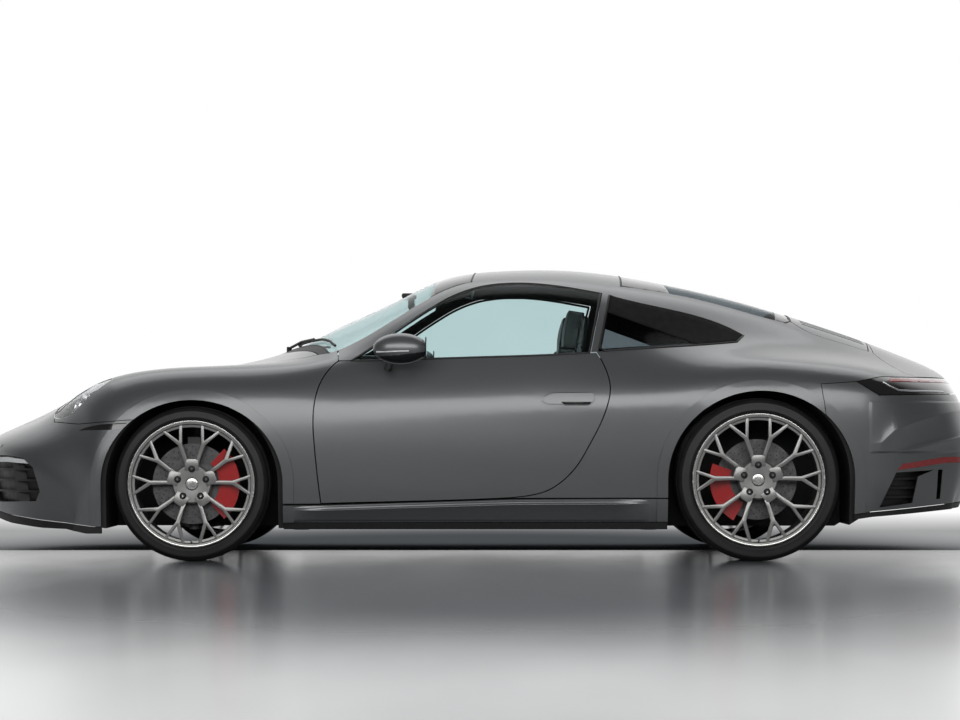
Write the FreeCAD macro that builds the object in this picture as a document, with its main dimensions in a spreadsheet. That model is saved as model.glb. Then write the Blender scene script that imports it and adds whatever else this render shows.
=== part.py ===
# Two-door coupe with a flat-six behind the rear axle.
# X runs rearward from the middle of the wheelbase, Y to the car's right, Z up from the ground.
import FreeCAD, Part
import math
import os
import Sketcher
from FreeCAD import Matrix, Placement, Rotation, Vector

doc = FreeCAD.newDocument("coupe")
sheet = doc.addObject("Spreadsheet::Sheet", "sizes")

# Driving dimensions, millimetres
SIZES = [
    ("wheelbase", 2450, "front axle to rear axle"),
    ("front_overhang", 1032, "front axle to nose"),
    ("rear_overhang", 1037, "rear axle to tail"),
    ("body_width", 1852, "over the rear haunches"),
    ("roof_height", 1306, "ground to roof"),
    ("belt_height", 880, "ground to the foot of the side glass"),
    ("floor_height", 120, "ground to the underside"),
    ("track_front", 1577, "front wheel planes at hub height"),
    ("track_rear", 1529, "rear wheel planes at hub height"),
    ("tyre_radius_front", 335, "loaded radius of the front tyre"),
    ("tyre_radius_rear", 353, "loaded radius of the rear tyre"),
    ("tyre_width_front", 238, "front tyre section"),
    ("tyre_width_rear", 292, "rear tyre section"),
    ("rim_radius_front", 275, "front rim flange"),
    ("rim_radius_rear", 288, "rear rim flange"),
    ("disc_radius_front", 175, "front brake disc"),
    ("disc_radius_rear", 175, "rear brake disc"),
    ("wheelhouse_front", 372, "radius of the front wheelhouse"),
    ("wheelhouse_rear", 398, "radius of the rear wheelhouse"),
    ("lip", 9, "how far the wheel arch lips stand out"),
    ("lip_width", 46, "width of the wheel arch lips"),
    ("skin", 22, "outer panels with their inner frames"),
    ("door_wall", 72, "door thickness"),
    ("shut_moving", 3.5, "how far a lid or door stays inside its outline"),
    ("shut_fixed", 1.5, "how far a fixed panel stays inside its outline"),
    ("seat_gap", 0.3, "gap between a panel and what it sits on"),
    ("glass", 5, "window glass"),
    ("glass_inset", 2, "glass below the panels' surface"),
]
for row, (alias, value, note) in enumerate(SIZES, start=1):
    sheet.set(f"A{row}", alias)
    sheet.set(f"B{row}", str(value))
    sheet.set(f"C{row}", note)
    sheet.setAlias(f"B{row}", alias)
doc.recompute()


def size(alias):
    return float(sheet.get(alias))


# The lines below were drawn on a car of these sizes; the sheet stretches them.
DRAWN_AXLE = 1225.0
DRAWN_FRONT, DRAWN_REAR = 1032.0, 1037.0
DRAWN_HALF_WIDTH = 926.0
DRAWN_FLOOR, DRAWN_BELT, DRAWN_ROOF = 120.0, 880.0, 1306.0

axle = size("wheelbase") / 2
floor = size("floor_height")
belt = size("belt_height")


def along(x):
    """A drawn place along the car, stretched to the wheelbase and the overhangs."""
    if x < -DRAWN_AXLE:
        return -axle + (x + DRAWN_AXLE) * size("front_overhang") / DRAWN_FRONT
    if x > DRAWN_AXLE:
        return axle + (x - DRAWN_AXLE) * size("rear_overhang") / DRAWN_REAR
    return x * axle / DRAWN_AXLE


def across(y):
    return y * size("body_width") / 2 / DRAWN_HALF_WIDTH


def up(z):
    """A drawn height, stretched between the underside, the belt and the roof."""
    if z > DRAWN_BELT:
        return belt + (z - DRAWN_BELT) * (size("roof_height") - belt) / (DRAWN_ROOF - DRAWN_BELT)
    return floor + (z - DRAWN_FLOOR) * (belt - floor) / (DRAWN_BELT - DRAWN_FLOOR)


def place(x, y, z):
    return Vector(along(x), across(y), up(z))


# Body surface
# Each frame is a line of points from the floor's edge over the side to the centreline.
# The first and last frames are the lower edges of the two bumpers, so the frames fan round the nose and tail.
def nose_frame(tip, sweep, ys, zs):
    """A frame that wraps the nose, on a rounded plan from its tip."""
    half = 905.0
    xs = [tip + sweep * (1 - math.sqrt(1 - (y / half) ** 2.5)) for y in ys]
    return xs, ys, zs


def flat_frame(x, ys, zs):
    return [x] * len(ys), ys, zs


NOSE_Y = [878, 880, 862, 829, 780, 718, 643, 553, 448, 337, 226, 113, 0]
FRAMES = [
    nose_frame(-2172, 600, [868, 850, 822, 785, 738, 680, 610, 525, 425, 320, 215, 108, 0], [120] * 13),
    nose_frame(-2230, 680, [874, 868, 846, 811, 762, 701, 628, 540, 437, 329, 221, 111, 0],
               [120, 150, 185, 215, 235, 245, 250, 250, 250, 250, 250, 250, 250]),
    nose_frame(-2254, 700, NOSE_Y, [120, 175, 245, 310, 355, 385, 400, 410, 415, 420, 420, 420, 420]),
    nose_frame(-2226, 640, [882, 888, 880, 852, 803, 738, 660, 568, 459, 345, 231, 116, 0],
               [120, 195, 290, 385, 450, 485, 505, 515, 520, 522, 522, 521, 520]),
    ([-1690, -1688, -1690, -1705, -1735, -1780, -1835, -1895, -1955, -2005, -2045, -2070, -2080],
     [884, 893, 896, 880, 842, 785, 712, 620, 510, 388, 262, 131, 0],
     [120, 205, 315, 425, 505, 560, 592, 605, 604, 602, 601, 600, 600]),
    ([-1640, -1638, -1637, -1642, -1655, -1680, -1715, -1755, -1800, -1850, -1890, -1915, -1925],
     [884, 894, 903, 900, 876, 830, 765, 675, 560, 430, 290, 145, 0],
     [120, 210, 325, 445, 550, 630, 690, 718, 700, 682, 670, 664, 662]),
    ([-1560, -1560, -1560, -1560, -1562, -1565, -1572, -1585, -1600, -1620, -1640, -1652, -1656],
     [880, 894, 906, 908, 896, 862, 795, 695, 575, 445, 300, 150, 0],
     [120, 215, 330, 460, 585, 690, 768, 800, 780, 762, 755, 752, 752]),
    flat_frame(-1400, [870, 892, 908, 914, 907, 880, 808, 700, 580, 450, 305, 152, 0],
               [120, 215, 335, 475, 610, 725, 808, 834, 812, 800, 802, 808, 811]),
    flat_frame(-1225, [860, 890, 909, 917, 911, 886, 812, 702, 582, 452, 306, 153, 0],
               [120, 215, 335, 480, 620, 738, 822, 846, 832, 832, 838, 843, 845]),
    flat_frame(-1020, [850, 884, 902, 910, 903, 880, 812, 706, 590, 460, 312, 156, 0],
               [120, 215, 335, 480, 620, 735, 822, 855, 856, 866, 876, 882, 884]),
    flat_frame(-820, [845, 878, 893, 900, 894, 873, 812, 722, 612, 480, 328, 165, 0],
               [120, 215, 335, 480, 615, 728, 822, 864, 884, 907, 931, 945, 950]),
    flat_frame(-620, [842, 874, 888, 894, 889, 868, 805, 735, 645, 515, 355, 178, 0],
               [120, 215, 335, 480, 612, 722, 842, 888, 938, 988, 1025, 1043, 1048]),
    flat_frame(-380, [842, 873, 886, 892, 888, 869, 806, 745, 672, 555, 385, 194, 0],
               [120, 215, 335, 480, 612, 722, 858, 955, 1035, 1092, 1132, 1150, 1155]),
    flat_frame(-150, [842, 873, 886, 893, 890, 873, 810, 752, 680, 575, 405, 205, 0],
               [120, 215, 335, 480, 612, 724, 868, 990, 1105, 1190, 1238, 1257, 1262]),
    flat_frame(100, [842, 873, 887, 895, 893, 878, 814, 752, 675, 580, 415, 210, 0],
               [120, 215, 335, 482, 615, 728, 878, 1010, 1135, 1222, 1272, 1294, 1300]),
    flat_frame(400, [845, 875, 890, 899, 899, 885, 818, 748, 668, 575, 412, 208, 0],
               [120, 215, 335, 485, 620, 735, 888, 1015, 1135, 1218, 1274, 1299, 1306]),
    flat_frame(700, [850, 880, 896, 907, 910, 896, 812, 720, 640, 548, 395, 200, 0],
               [120, 215, 335, 490, 628, 742, 890, 1000, 1100, 1180, 1238, 1266, 1274]),
    flat_frame(980, [860, 888, 905, 917, 920, 905, 830, 700, 600, 505, 365, 185, 0],
               [120, 215, 335, 490, 635, 758, 862, 950, 1050, 1135, 1188, 1213, 1221]),
    flat_frame(1225, [870, 895, 912, 924, 926, 911, 842, 705, 572, 462, 335, 170, 0],
               [120, 220, 345, 500, 645, 768, 862, 915, 985, 1072, 1128, 1154, 1161]),
    flat_frame(1450, [868, 893, 908, 919, 920, 903, 832, 700, 560, 440, 315, 160, 0],
               [120, 235, 365, 510, 650, 768, 850, 893, 940, 1010, 1062, 1087, 1095]),
    flat_frame(1700, [850, 875, 890, 900, 900, 880, 808, 685, 550, 425, 300, 152, 0],
               [120, 245, 375, 515, 650, 758, 826, 862, 898, 945, 985, 1006, 1012]),
    ([1840, 1840, 1842, 1848, 1856, 1866, 1880, 1895, 1908, 1918, 1925, 1929, 1930],
     [822, 846, 858, 862, 855, 828, 758, 650, 528, 405, 280, 140, 0],
     [120, 255, 385, 520, 645, 740, 790, 820, 850, 880, 905, 922, 927]),
    ([1930, 1935, 1940, 1950, 1965, 1985, 2010, 2040, 2065, 2087, 2103, 2112, 2115],
     [780, 802, 812, 812, 795, 758, 690, 598, 488, 372, 256, 128, 0],
     [120, 262, 392, 518, 630, 715, 760, 785, 805, 822, 834, 840, 842]),
    ([2010, 2020, 2030, 2045, 2065, 2088, 2112, 2136, 2156, 2172, 2183, 2189, 2190],
     [730, 748, 755, 750, 730, 692, 630, 548, 450, 345, 236, 118, 0],
     [120, 262, 390, 500, 590, 655, 695, 715, 727, 734, 738, 740, 740]),
    ([2066, 2080, 2100, 2120, 2142, 2163, 2184, 2205, 2222, 2236, 2245, 2249, 2250],
     [690, 700, 702, 694, 672, 635, 578, 505, 415, 318, 216, 108, 0],
     [120, 245, 350, 430, 490, 525, 545, 555, 558, 560, 560, 560, 560]),
    ([2084, 2098, 2117, 2138, 2158, 2179, 2199, 2218, 2233, 2244, 2250, 2253, 2254],
     [665, 670, 668, 656, 632, 595, 541, 473, 390, 298, 202, 101, 0],
     [120, 215, 290, 340, 370, 388, 396, 400, 400, 400, 400, 400, 400]),
    ([2070, 2080, 2092, 2108, 2125, 2142, 2158, 2174, 2188, 2199, 2206, 2209, 2210],
     [650, 652, 646, 630, 605, 568, 515, 450, 370, 283, 192, 96, 0],
     [120, 170, 205, 222, 228, 230, 230, 230, 230, 230, 230, 230, 230]),
    ([2040, 2046, 2054, 2064, 2076, 2090, 2104, 2118, 2130, 2140, 2146, 2149, 2150],
     [640, 636, 626, 608, 582, 545, 494, 430, 354, 271, 184, 92, 0],
     [120] * 13),
]


def clamped_knots(count, degree=3):
    spans = count - degree
    knots = [float(k) for k in range(spans + 1)]
    mults = [degree + 1] + [1] * (spans - 1) + [degree + 1]
    return knots, mults


def greville(count, degree=3):
    """The parameter at which each pole pulls the most."""
    knots, mults = clamped_knots(count, degree)
    full = [k for k, m in zip(knots, mults) for _ in range(m)]
    return [sum(full[i + 1:i + 1 + degree]) / degree for i in range(count)]


def surface_through(grid, passes=3):
    """A smooth surface close to a grid of points, its poles nudged by what it still misses."""
    rows, cols = len(grid), len(grid[0])
    u_knots, u_mults = clamped_knots(rows)
    v_knots, v_mults = clamped_knots(cols)
    us, vs = greville(rows), greville(cols)
    poles = [list(line) for line in grid]
    for step in range(passes + 1):
        surface = Part.BSplineSurface()
        surface.buildFromPolesMultsKnots(poles, u_mults, v_mults, u_knots, v_knots, False, False, 3, 3)
        if step < passes:
            poles = [[poles[i][j] + grid[i][j] - surface.value(us[i], vs[j]) for j in range(cols)]
                     for i in range(rows)]
    return surface


def full_grid(frames):
    """Both sides of the car, from the left floor edge over the top to the right one."""
    grid = []
    for xs, ys, zs in frames:
        left = [place(x, -y, z) for x, y, z in zip(xs, ys, zs)]
        right = [Vector(p.x, -p.y, p.z) for p in reversed(left[:-1])]
        grid.append(left + right)
    return grid


def closed_volume(grid, bottom):
    """The solid under a surface through the grid, closed by a flat floor."""
    rows, cols = len(grid), len(grid[0])
    flat = [[Vector(p.x, p.y, bottom) if i in (0, rows - 1) or j in (0, cols - 1) else p
             for j, p in enumerate(line)] for i, line in enumerate(grid)]
    top = surface_through(flat).toShape()
    cap = Part.Face(Part.Wire(Part.__sortEdges__(top.OuterWire.Edges)))
    solid = Part.Solid(Part.Shell([top, cap]))
    if solid.Volume < 0:
        solid.reverse()
    return solid


outer_grid = full_grid(FRAMES)
outer_surface = surface_through(outer_grid)


def moved_in(depth):
    """The outer grid moved inwards."""
    rows, cols = len(outer_grid), len(outer_grid[0])
    us, vs = greville(rows), greville(cols)
    grid = []
    for i in range(rows):
        line = []
        for j in range(cols):
            near_u = min(max(us[i], 0.05), us[-1] - 0.05)
            near_v = min(max(vs[j], 0.05), vs[-1] - 0.05)
            normal = outer_surface.normal(near_u, near_v)
            point = outer_grid[i][j]
            if normal.dot(Vector(point.x * 0.25, point.y, point.z - 400)) < 0:
                normal = -normal
            line.append(point - normal * depth)
        grid.append(line)
    return grid


# Body volumes
cores = {0: closed_volume(outer_grid, floor)}


def core(depth):
    """The volume left when the outside is taken in by a depth."""
    if depth not in cores:
        cores[depth] = closed_volume(moved_in(depth), floor - 20)
    return cores[depth]


def layer(tool, outer, inner):
    """The part of a cutter between two depths below the outside."""
    return tool.common(core(outer)).cut(core(inner))


HUGE = 3000.0


def block(x0, x1, y0, y1, z0, z1):
    """A box between drawn places."""
    low, high = place(x0, y0, z0), place(x1, y1, z1)
    span = high - low
    return Part.makeBox(span.x, span.y, span.z, low)


def curve_through(points):
    curve = Part.BSplineCurve()
    curve.interpolate(points)
    return curve


def tangents(points):
    """Unit directions along a segment at each of its points."""
    if len(points) == 2:
        way = (points[1] - points[0]).normalize()
        return [way, way]
    curve = curve_through(points)
    return [Vector(*curve.tangent(curve.parameter(p))[0]).normalize() for p in points]


def line_of(segments, where, across_way, by=0.0):
    """A closed outline, moved outwards by a distance.

    A pair of points is a straight edge, more points are a smooth curve; each starts where the last ends."""
    lines = [[where(a, b) for a, b in segment] for segment in segments]
    ways = [tangents(points) for points in lines]
    middle = sum((points[0] for points in lines), Vector()) * (1 / len(lines))
    loop = [p for points in lines for p in points[:-1]]
    turn = sum(((a - middle).cross(b - middle)).dot(across_way) for a, b in zip(loop, loop[1:] + loop[:1]))
    out = across_way if turn < 0 else -across_way
    edges = []
    for k, points in enumerate(lines):
        normals = [out.cross(way) for way in ways[k]]
        before = out.cross(ways[k - 1][-1])
        after = out.cross(ways[(k + 1) % len(lines)][0])
        shifts = list(normals)
        shifts[0] = (before + normals[0]) * (1 / max(1 + before.dot(normals[0]), 0.3))
        shifts[-1] = (after + normals[-1]) * (1 / max(1 + after.dot(normals[-1]), 0.3))
        moved = [p + shift * by for p, shift in zip(points, shifts)]
        edges.append(Part.makeLine(*moved) if len(moved) == 2 else curve_through(moved).toShape())
    return Part.Wire(edges)


def side_point(x, z):
    return Vector(along(x), 0, up(z))


def top_point(x, y):
    return Vector(along(x), across(y), 0)


def front_point(y, z):
    return Vector(0, across(y), up(z))


def corners(points):
    """Straight edges all round."""
    return [[a, b] for a, b in zip(points, points[1:] + points[:1])]


def side_tool(segments, by=0.0, y0=-1100.0, y1=-1.0):
    face = Part.Face(line_of(segments, side_point, Vector(0, 1, 0), by))
    face.translate(Vector(0, y0, 0))
    return face.extrude(Vector(0, y1 - y0, 0))


def top_tool(segments, by=0.0, z0=150.0, z1=1500.0, lean=0.0, pivot=900.0):
    """A cutter seen from above; lean tips it back with height, about a pivot height."""
    face = Part.Face(line_of(segments, top_point, Vector(0, 0, 1), by))
    face.translate(Vector(lean * (z0 - pivot), 0, z0))
    return face.extrude(Vector(lean * (z1 - z0), 0, z1 - z0))


def front_tool(segments, by, x0, x1):
    face = Part.Face(line_of(segments, front_point, Vector(1, 0, 0), by))
    face.translate(Vector(along(x0), 0, 0))
    return face.extrude(Vector(along(x1) - along(x0), 0, 0))


def both_sides(left, sharp):
    """A top outline drawn for the left from centre to centre, closed over to the right; sharp picks its corners."""
    loop = left + [(x, -y) for x, y in reversed(left)][1:-1]
    picks = sorted([k for k in sharp] + [len(loop) - k for k in sharp])
    return [[loop[i % len(loop)] for i in range(a, b + 1)]
            for a, b in zip(picks, picks[1:] + [picks[0] + len(loop)])]


def mirrored(shape):
    return shape.mirror(Vector(0, 0, 0), Vector(0, 1, 0))


skin = size("skin")
fixed = -size("shut_fixed")
moving = -size("shut_moving")
rest = size("seat_gap")


# Outlines seen from the side
DOOR_FRONT = [(-597, 871), (-640, 827), (-679, 755), (-696, 682), (-701, 595), (-695, 499), (-683, 374), (-667, 249)]
DOOR_FOOT = [(-667, 249), (-317, 258), (20, 268), (165, 275)]
DOOR_REAR = [(165, 275), (252, 287), (319, 308), (387, 354), (445, 418), (493, 499), (541, 591), (575, 682),
             (586, 750), (575, 813), (530, 908)]
BELT = [(530, 908), (350, 898), (-151, 882), (-400, 874), (-597, 871)]
DOOR = [DOOR_FRONT, DOOR_FOOT, DOOR_REAR, BELT]
DOOR_GLASS = [[(-545, 868), (-425, 948), (-300, 1035), (-156, 1128)],
              [(-156, 1128), (-60, 1176), (28, 1203), (120, 1216), (226, 1218), (400, 1200), (558, 1172)],
              [(558, 1172), (500, 900)],
              [(500, 900), (350, 892), (-151, 876), (-400, 868), (-545, 868)]]
QUARTER_GLASS = [[(592, 1166), (801, 1116), (999, 1070), (1150, 1012), (1193, 987)],
                 [(1193, 987), (1157, 955)],
                 [(1157, 955), (984, 939), (700, 920), (536, 909)],
                 [(536, 909), (592, 1166)]]
FENDER = [[(-1853, 1100), (-1853, 604)], [(-1853, 604), (-1726, 594)], [(-1726, 594), (-1496, 611)],
          [(-1496, 611), (-1300, 611)], [(-1300, 611), (-1300, 246)], [(-1300, 246), (-667, 249)],
          list(reversed(DOOR_FRONT)), [(-597, 871), (-640, 1100)], [(-640, 1100), (-1853, 1100)]]
FRONT_EDGE = [(-2500, 226), (-2186, 218), (-2050, 194), (-1888, 176), (-1771, 166), (-1651, 150), (-1300, 146)]
FRONT_FOOT = [(-1300, 104), (-1651, 112), (-1771, 138), (-1888, 141), (-2050, 157), (-2186, 184), (-2500, 184)]
FRONT_BUMPER = corners(FRONT_EDGE + [(-1300, 611), (-1496, 611), (-1726, 594), (-1853, 604),
                                     (-1853, 1100), (-2500, 1100)])
FRONT_LIP = corners(FRONT_EDGE + FRONT_FOOT)
SIDE_FRAME = ([[(-640, 1400), (-597, 871)]] + [list(reversed(BELT)), list(reversed(DOOR_REAR))]
              + corners([(165, 275), (1225, 275), (1225, 620), (1515, 620), (1494, 767), (1650, 778), (1760, 800),
                         (2500, 800), (2500, 1400), (-640, 1400)])[:-2]
              + [[(2500, 1400), (-640, 1400)]])
TAIL_LIGHT = corners([(1650, 778), (1747, 718), (2068, 726), (2500, 744), (2500, 800), (1760, 800)])
REAR_EDGE = [(1400, 196), (1611, 198), (1722, 214), (2120, 248), (2500, 260)]
REAR_FOOT = [(2500, 232), (2120, 221), (1722, 190), (1611, 174), (1400, 170)]
DIFFUSER = corners(REAR_EDGE + REAR_FOOT)
DIFFUSER_MIDDLE = corners([(-540, 150), (540, 150), (490, 318), (-490, 318)])
REAR_BUMPER = corners(REAR_EDGE + [(2500, 744), (2068, 726),
                       (1747, 718), (1650, 778), (1494, 767), (1515, 620), (1400, 620)])
SILL = corners([(-900, 166), (-900, 243), (-667, 243), (165, 269), (900, 272), (900, 170)])
SKIRT = corners([(-900, 136), (-900, 166), (900, 170), (900, 136)])

# Outlines seen from above, left half
HOOD_FRONT = [(-2078, 0), (-2068, -200), (-2030, -340), (-1940, -440)]
HOOD_SIDE = [(-1940, -440), (-1850, -478), (-1700, -520), (-1500, -562), (-1200, -602), (-900, -638), (-690, -672)]
HOOD_REAR = [(-690, -672), (-720, -600), (-800, -440), (-880, -250), (-905, 0)]
HOOD_BODY = both_sides([(-2500, 0), (-2500, -440)] + HOOD_SIDE + HOOD_REAR[1:], [1, 2, 8])
HOOD_NOSE = both_sides(HOOD_FRONT + [(-1940, -900), (-400, -900), (-400, 0)], [3, 4, 5])
COWL = both_sides([(-905, 0), (-880, -250), (-800, -440), (-720, -600), (-690, -672), (-645, -690), (-660, -640),
                   (-740, -440), (-825, -250), (-850, 0)], [4, 5])
WINDSCREEN = both_sides([(-850, 0), (-825, -250), (-740, -440), (-660, -640), (-645, -690), (-380, -662),
                         (-150, -590), (-15, -550), (0, -300), (4, 0)], [4, 7])
ROOF = both_sides([(4, 0), (0, -300), (-15, -550), (200, -562), (400, -560), (600, -545), (648, -510), (655, -300),
                   (658, 0)], [2, 6])
REAR_WINDOW = both_sides([(658, 0), (655, -300), (648, -510), (900, -470), (1200, -425), (1400, -390),
                          (1428, -345), (1436, 0)], [2, 5, 6])
LID_BODY = both_sides([(1436, 0), (1428, -345), (1500, -410), (1640, -428), (1790, -432), (1980, -434), (1980, 0)],
                      [1, 5])
LID_TAIL = both_sides([(1200, 0), (1200, -600), (1790, -600), (1790, -432), (1795, 0)], [1, 2, 3])
SPOILER = both_sides([(1795, 0), (1790, -432), (1840, -560), (1895, -655), (2500, -655), (2500, 0)], [1, 3, 4])


def hood_tool(by):
    """The front lid's cutter; its front edge leans forward so that the lid can rise."""
    return top_tool(HOOD_BODY, by).common(top_tool(HOOD_NOSE, by, lean=-0.25, pivot=590))


def engine_lid_tool(by):
    """The engine lid's cutter; its rear edge leans back so that the lid can rise."""
    return top_tool(LID_BODY, by).common(top_tool(LID_TAIL, by, lean=0.35, pivot=985))


# Lamps in the front corners, round seen along their own axis
LAMP_CENTRE = place(-1705, -650, 715)
LAMP_AXIS = Vector(-0.55, -0.25, 0.80).normalize()
LAMP_LONG, LAMP_SHORT = 178.0, 118.0


def lamp_tool(by=0.0):
    long_way = Vector(1, 0, 0)
    long_way = (long_way - LAMP_AXIS * long_way.dot(LAMP_AXIS)).normalize()
    short_way = LAMP_AXIS.cross(long_way)
    start = LAMP_CENTRE - LAMP_AXIS * 250
    ellipse = Part.Ellipse(start + long_way * (LAMP_LONG + by), start + short_way * (LAMP_SHORT + by), start)
    return Part.Face(Part.Wire(ellipse.toShape())).extrude(LAMP_AXIS * 500)


# Wheel arches, an ellipse over the hub and open below it
def arch_tool(x, z, fore, aft, rise, by=0.0, y0=-1100.0, y1=-500.0):
    centre = Vector(x + (aft - fore) / 2, y0, z)
    half = (fore + aft) / 2
    ellipse = Part.Ellipse(centre + Vector(half + by, 0, 0), centre + Vector(0, 0, rise + by), centre)
    over = Part.Face(Part.Wire(ellipse.toShape())).extrude(Vector(0, y1 - y0, 0))
    under = Part.makeBox(2 * (half + by), y1 - y0, z, Vector(centre.x - half - by, y0, 0))
    return over.fuse(under)


FRONT_HUB = Vector(-axle, -size("track_front") / 2, size("tyre_radius_front"))
REAR_HUB = Vector(axle, -size("track_rear") / 2, size("tyre_radius_rear"))
front_arch = arch_tool(FRONT_HUB.x, FRONT_HUB.z, 390, 395, 363)
rear_arch = arch_tool(REAR_HUB.x, REAR_HUB.z, 392, 416, 385)

# Flared lips round the arches stand out of the sides, flat where the sides curve in above them
def arch_lip(hub, opening, face, fore, aft, rise):
    ring = arch_tool(hub.x, hub.z, fore, aft, rise, by=size("lip_width")).cut(opening)
    flat = Part.makeBox(2 * HUGE, HUGE, HUGE, Vector(-HUGE, across(face), 0))
    return layer(ring, -size("lip"), 10).common(flat)


lips = arch_lip(FRONT_HUB, front_arch, -921, 390, 395, 363)
lips = lips.fuse(arch_lip(REAR_HUB, rear_arch, -930, 392, 416, 385))


def left_panel(outline, y1=-1.0):
    """A panel of the left side with its part of the lips."""
    tool = side_tool(outline, fixed, y1=y1)
    return layer(tool, 0, skin).fuse(lips.common(tool))


# Panels on top
ledge = -12.0
bed_depth = size("glass_inset") + size("glass") + 1
hood_room, lid_opening = hood_tool(1.5), engine_lid_tool(1.5)


def cover(around_glass):
    """Everything the side panels leave to the panels above them."""
    return [hood_room, lid_opening, top_tool(COWL, 1.5), top_tool(ROOF, rest / 2), top_tool(WINDSCREEN, around_glass),
            top_tool(REAR_WINDOW, around_glass), top_tool(SPOILER, 1.5, z0=780)]


def cut_all(shape, tools):
    for tool in tools:
        shape = shape.cut(tool)
    return shape


front_lid = layer(hood_tool(moving), 0, skin)
cowl = layer(top_tool(COWL, fixed), 0, skin)
roof = layer(top_tool(ROOF, -rest / 2), 0, skin)
engine_lid = layer(engine_lid_tool(moving), 0, skin)
rear_spoiler = layer(top_tool(SPOILER, fixed, z0=803), 0, skin).cut(lid_opening)
glass_face, glass_back = size("glass_inset"), size("glass_inset") + size("glass")
windscreen = layer(top_tool(WINDSCREEN, fixed), glass_face, glass_back)
rear_window = layer(top_tool(REAR_WINDOW, fixed), glass_face, glass_back)

# Panels on the side
over_face, over_bed = cover(1.5), cover(ledge)


def glazed_panel(outline, *holes):
    """A panel of the left side in two layers, so that its inner one carries the glass."""
    tool = side_tool(outline, fixed)
    face = cut_all(layer(tool, 0, bed_depth), over_face)
    bed = cut_all(layer(tool, bed_depth, skin), over_bed)
    return cut_all(face.fuse(bed).fuse(lips.common(tool)), holes)


fender = cut_all(left_panel(FENDER), over_face[:5] + [front_arch, lamp_tool(3)])
door_skin = layer(side_tool(DOOR, moving), 0, skin)
door_inner = layer(side_tool(DOOR, moving - 15, y1=-600), skin, size("door_wall"))
door = door_skin.fuse(door_inner)
door_glass = layer(side_tool(DOOR_GLASS, moving), glass_face, glass_back)
quarter_glass = layer(side_tool(QUARTER_GLASS, fixed), glass_face, glass_back)
quarter_room = side_tool(QUARTER_GLASS, 1.5).cut(core(bed_depth))
quarter_room = quarter_room.fuse(side_tool(QUARTER_GLASS, ledge).common(core(bed_depth)))
side_frame = glazed_panel(SIDE_FRAME, rear_arch, side_tool(DOOR_GLASS, 4.5), quarter_room)
sill = left_panel(SILL).cut(front_arch).cut(rear_arch)
half_bumper = left_panel(FRONT_BUMPER, 0)
half_bumper = cut_all(half_bumper, [hood_room, front_arch, lamp_tool(3)])
half_lip = layer(side_tool(FRONT_LIP, fixed, y1=0), 0, skin).cut(front_arch)
skirt = layer(side_tool(SKIRT, fixed), 7, skin).cut(front_arch).cut(rear_arch)
diffuser_room = front_tool(DIFFUSER_MIDDLE, 1.5, 1900, 2600)
half_diffuser = layer(side_tool(DIFFUSER, fixed, y1=0), 0, skin).cut(rear_arch)
DIFFUSER_SIDE = corners([(1900, 196), (2120, 224), (2600, 234), (2600, 400), (1900, 400)])
middle_part = layer(front_tool(DIFFUSER_MIDDLE, fixed, 1900, 2600), 0, skin).common(side_tool(DIFFUSER_SIDE, y1=0))
half_diffuser = half_diffuser.fuse(middle_part)
half_tail = layer(side_tool(TAIL_LIGHT, fixed, y1=0), 0, skin)
half_rear = left_panel(REAR_BUMPER, 0).cut(rear_arch).cut(diffuser_room)
lamp_depth = 60
lamp = layer(lamp_tool(), 6, lamp_depth).cut(layer(lamp_tool(-6), 5, lamp_depth - 8))
lamp_lens = layer(lamp_tool(), 2, 5.7)


# Front intakes with their slats and day lamps
SIDE_INTAKE = corners([(-395, 452), (-560, 460), (-690, 457), (-765, 446), (-800, 405), (-812, 300), (-795, 258),
                       (-600, 250), (-420, 262), (-392, 300)])
MIDDLE_INTAKE = corners([(-340, 318), (340, 318), (325, 232), (-325, 232)])
DAY_LAMP = corners([(-430, 449), (-690, 450), (-762, 440), (-776, 422), (-690, 428), (-430, 428)])


def side_intake(by, x1=-1800):
    return front_tool(SIDE_INTAKE, by, -2500, x1)


def middle_intake(by, x1=-2000):
    return front_tool(MIDDLE_INTAKE, by, -2500, x1)


half_bumper = half_bumper.cut(side_intake(0)).cut(middle_intake(0))
slats = [block(-2500, -1700, -830, -380, z, z + 9) for z in (296, 344, 392)]
slats.append(block(-2500, -1700, -700, -691, 200, 470))
day_lamp_room = front_tool(DAY_LAMP, rest, -2500, -1800)
side_grille = layer(slats[0].fuse(slats[1:]).common(side_intake(-rest)), 14, 46).cut(day_lamp_room)
side_grille = side_grille.fuse(layer(side_intake(6), 46, 54))
day_lamp = layer(front_tool(DAY_LAMP, 0, -2500, -1800), 4, 24)
middle_slats = [block(-2500, -2000, -345, 345, z, z + 8) for z in (250, 274, 298)]
middle_grille = layer(middle_slats[0].fuse(middle_slats[1:]).common(middle_intake(-rest)), 14, 46)
middle_grille = middle_grille.fuse(layer(middle_intake(6), 46, 54))
duct_room = side_intake(8, -1750).cut(core(54 + rest))
middle_duct = middle_intake(8, -1950).cut(core(54 + rest))

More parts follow.
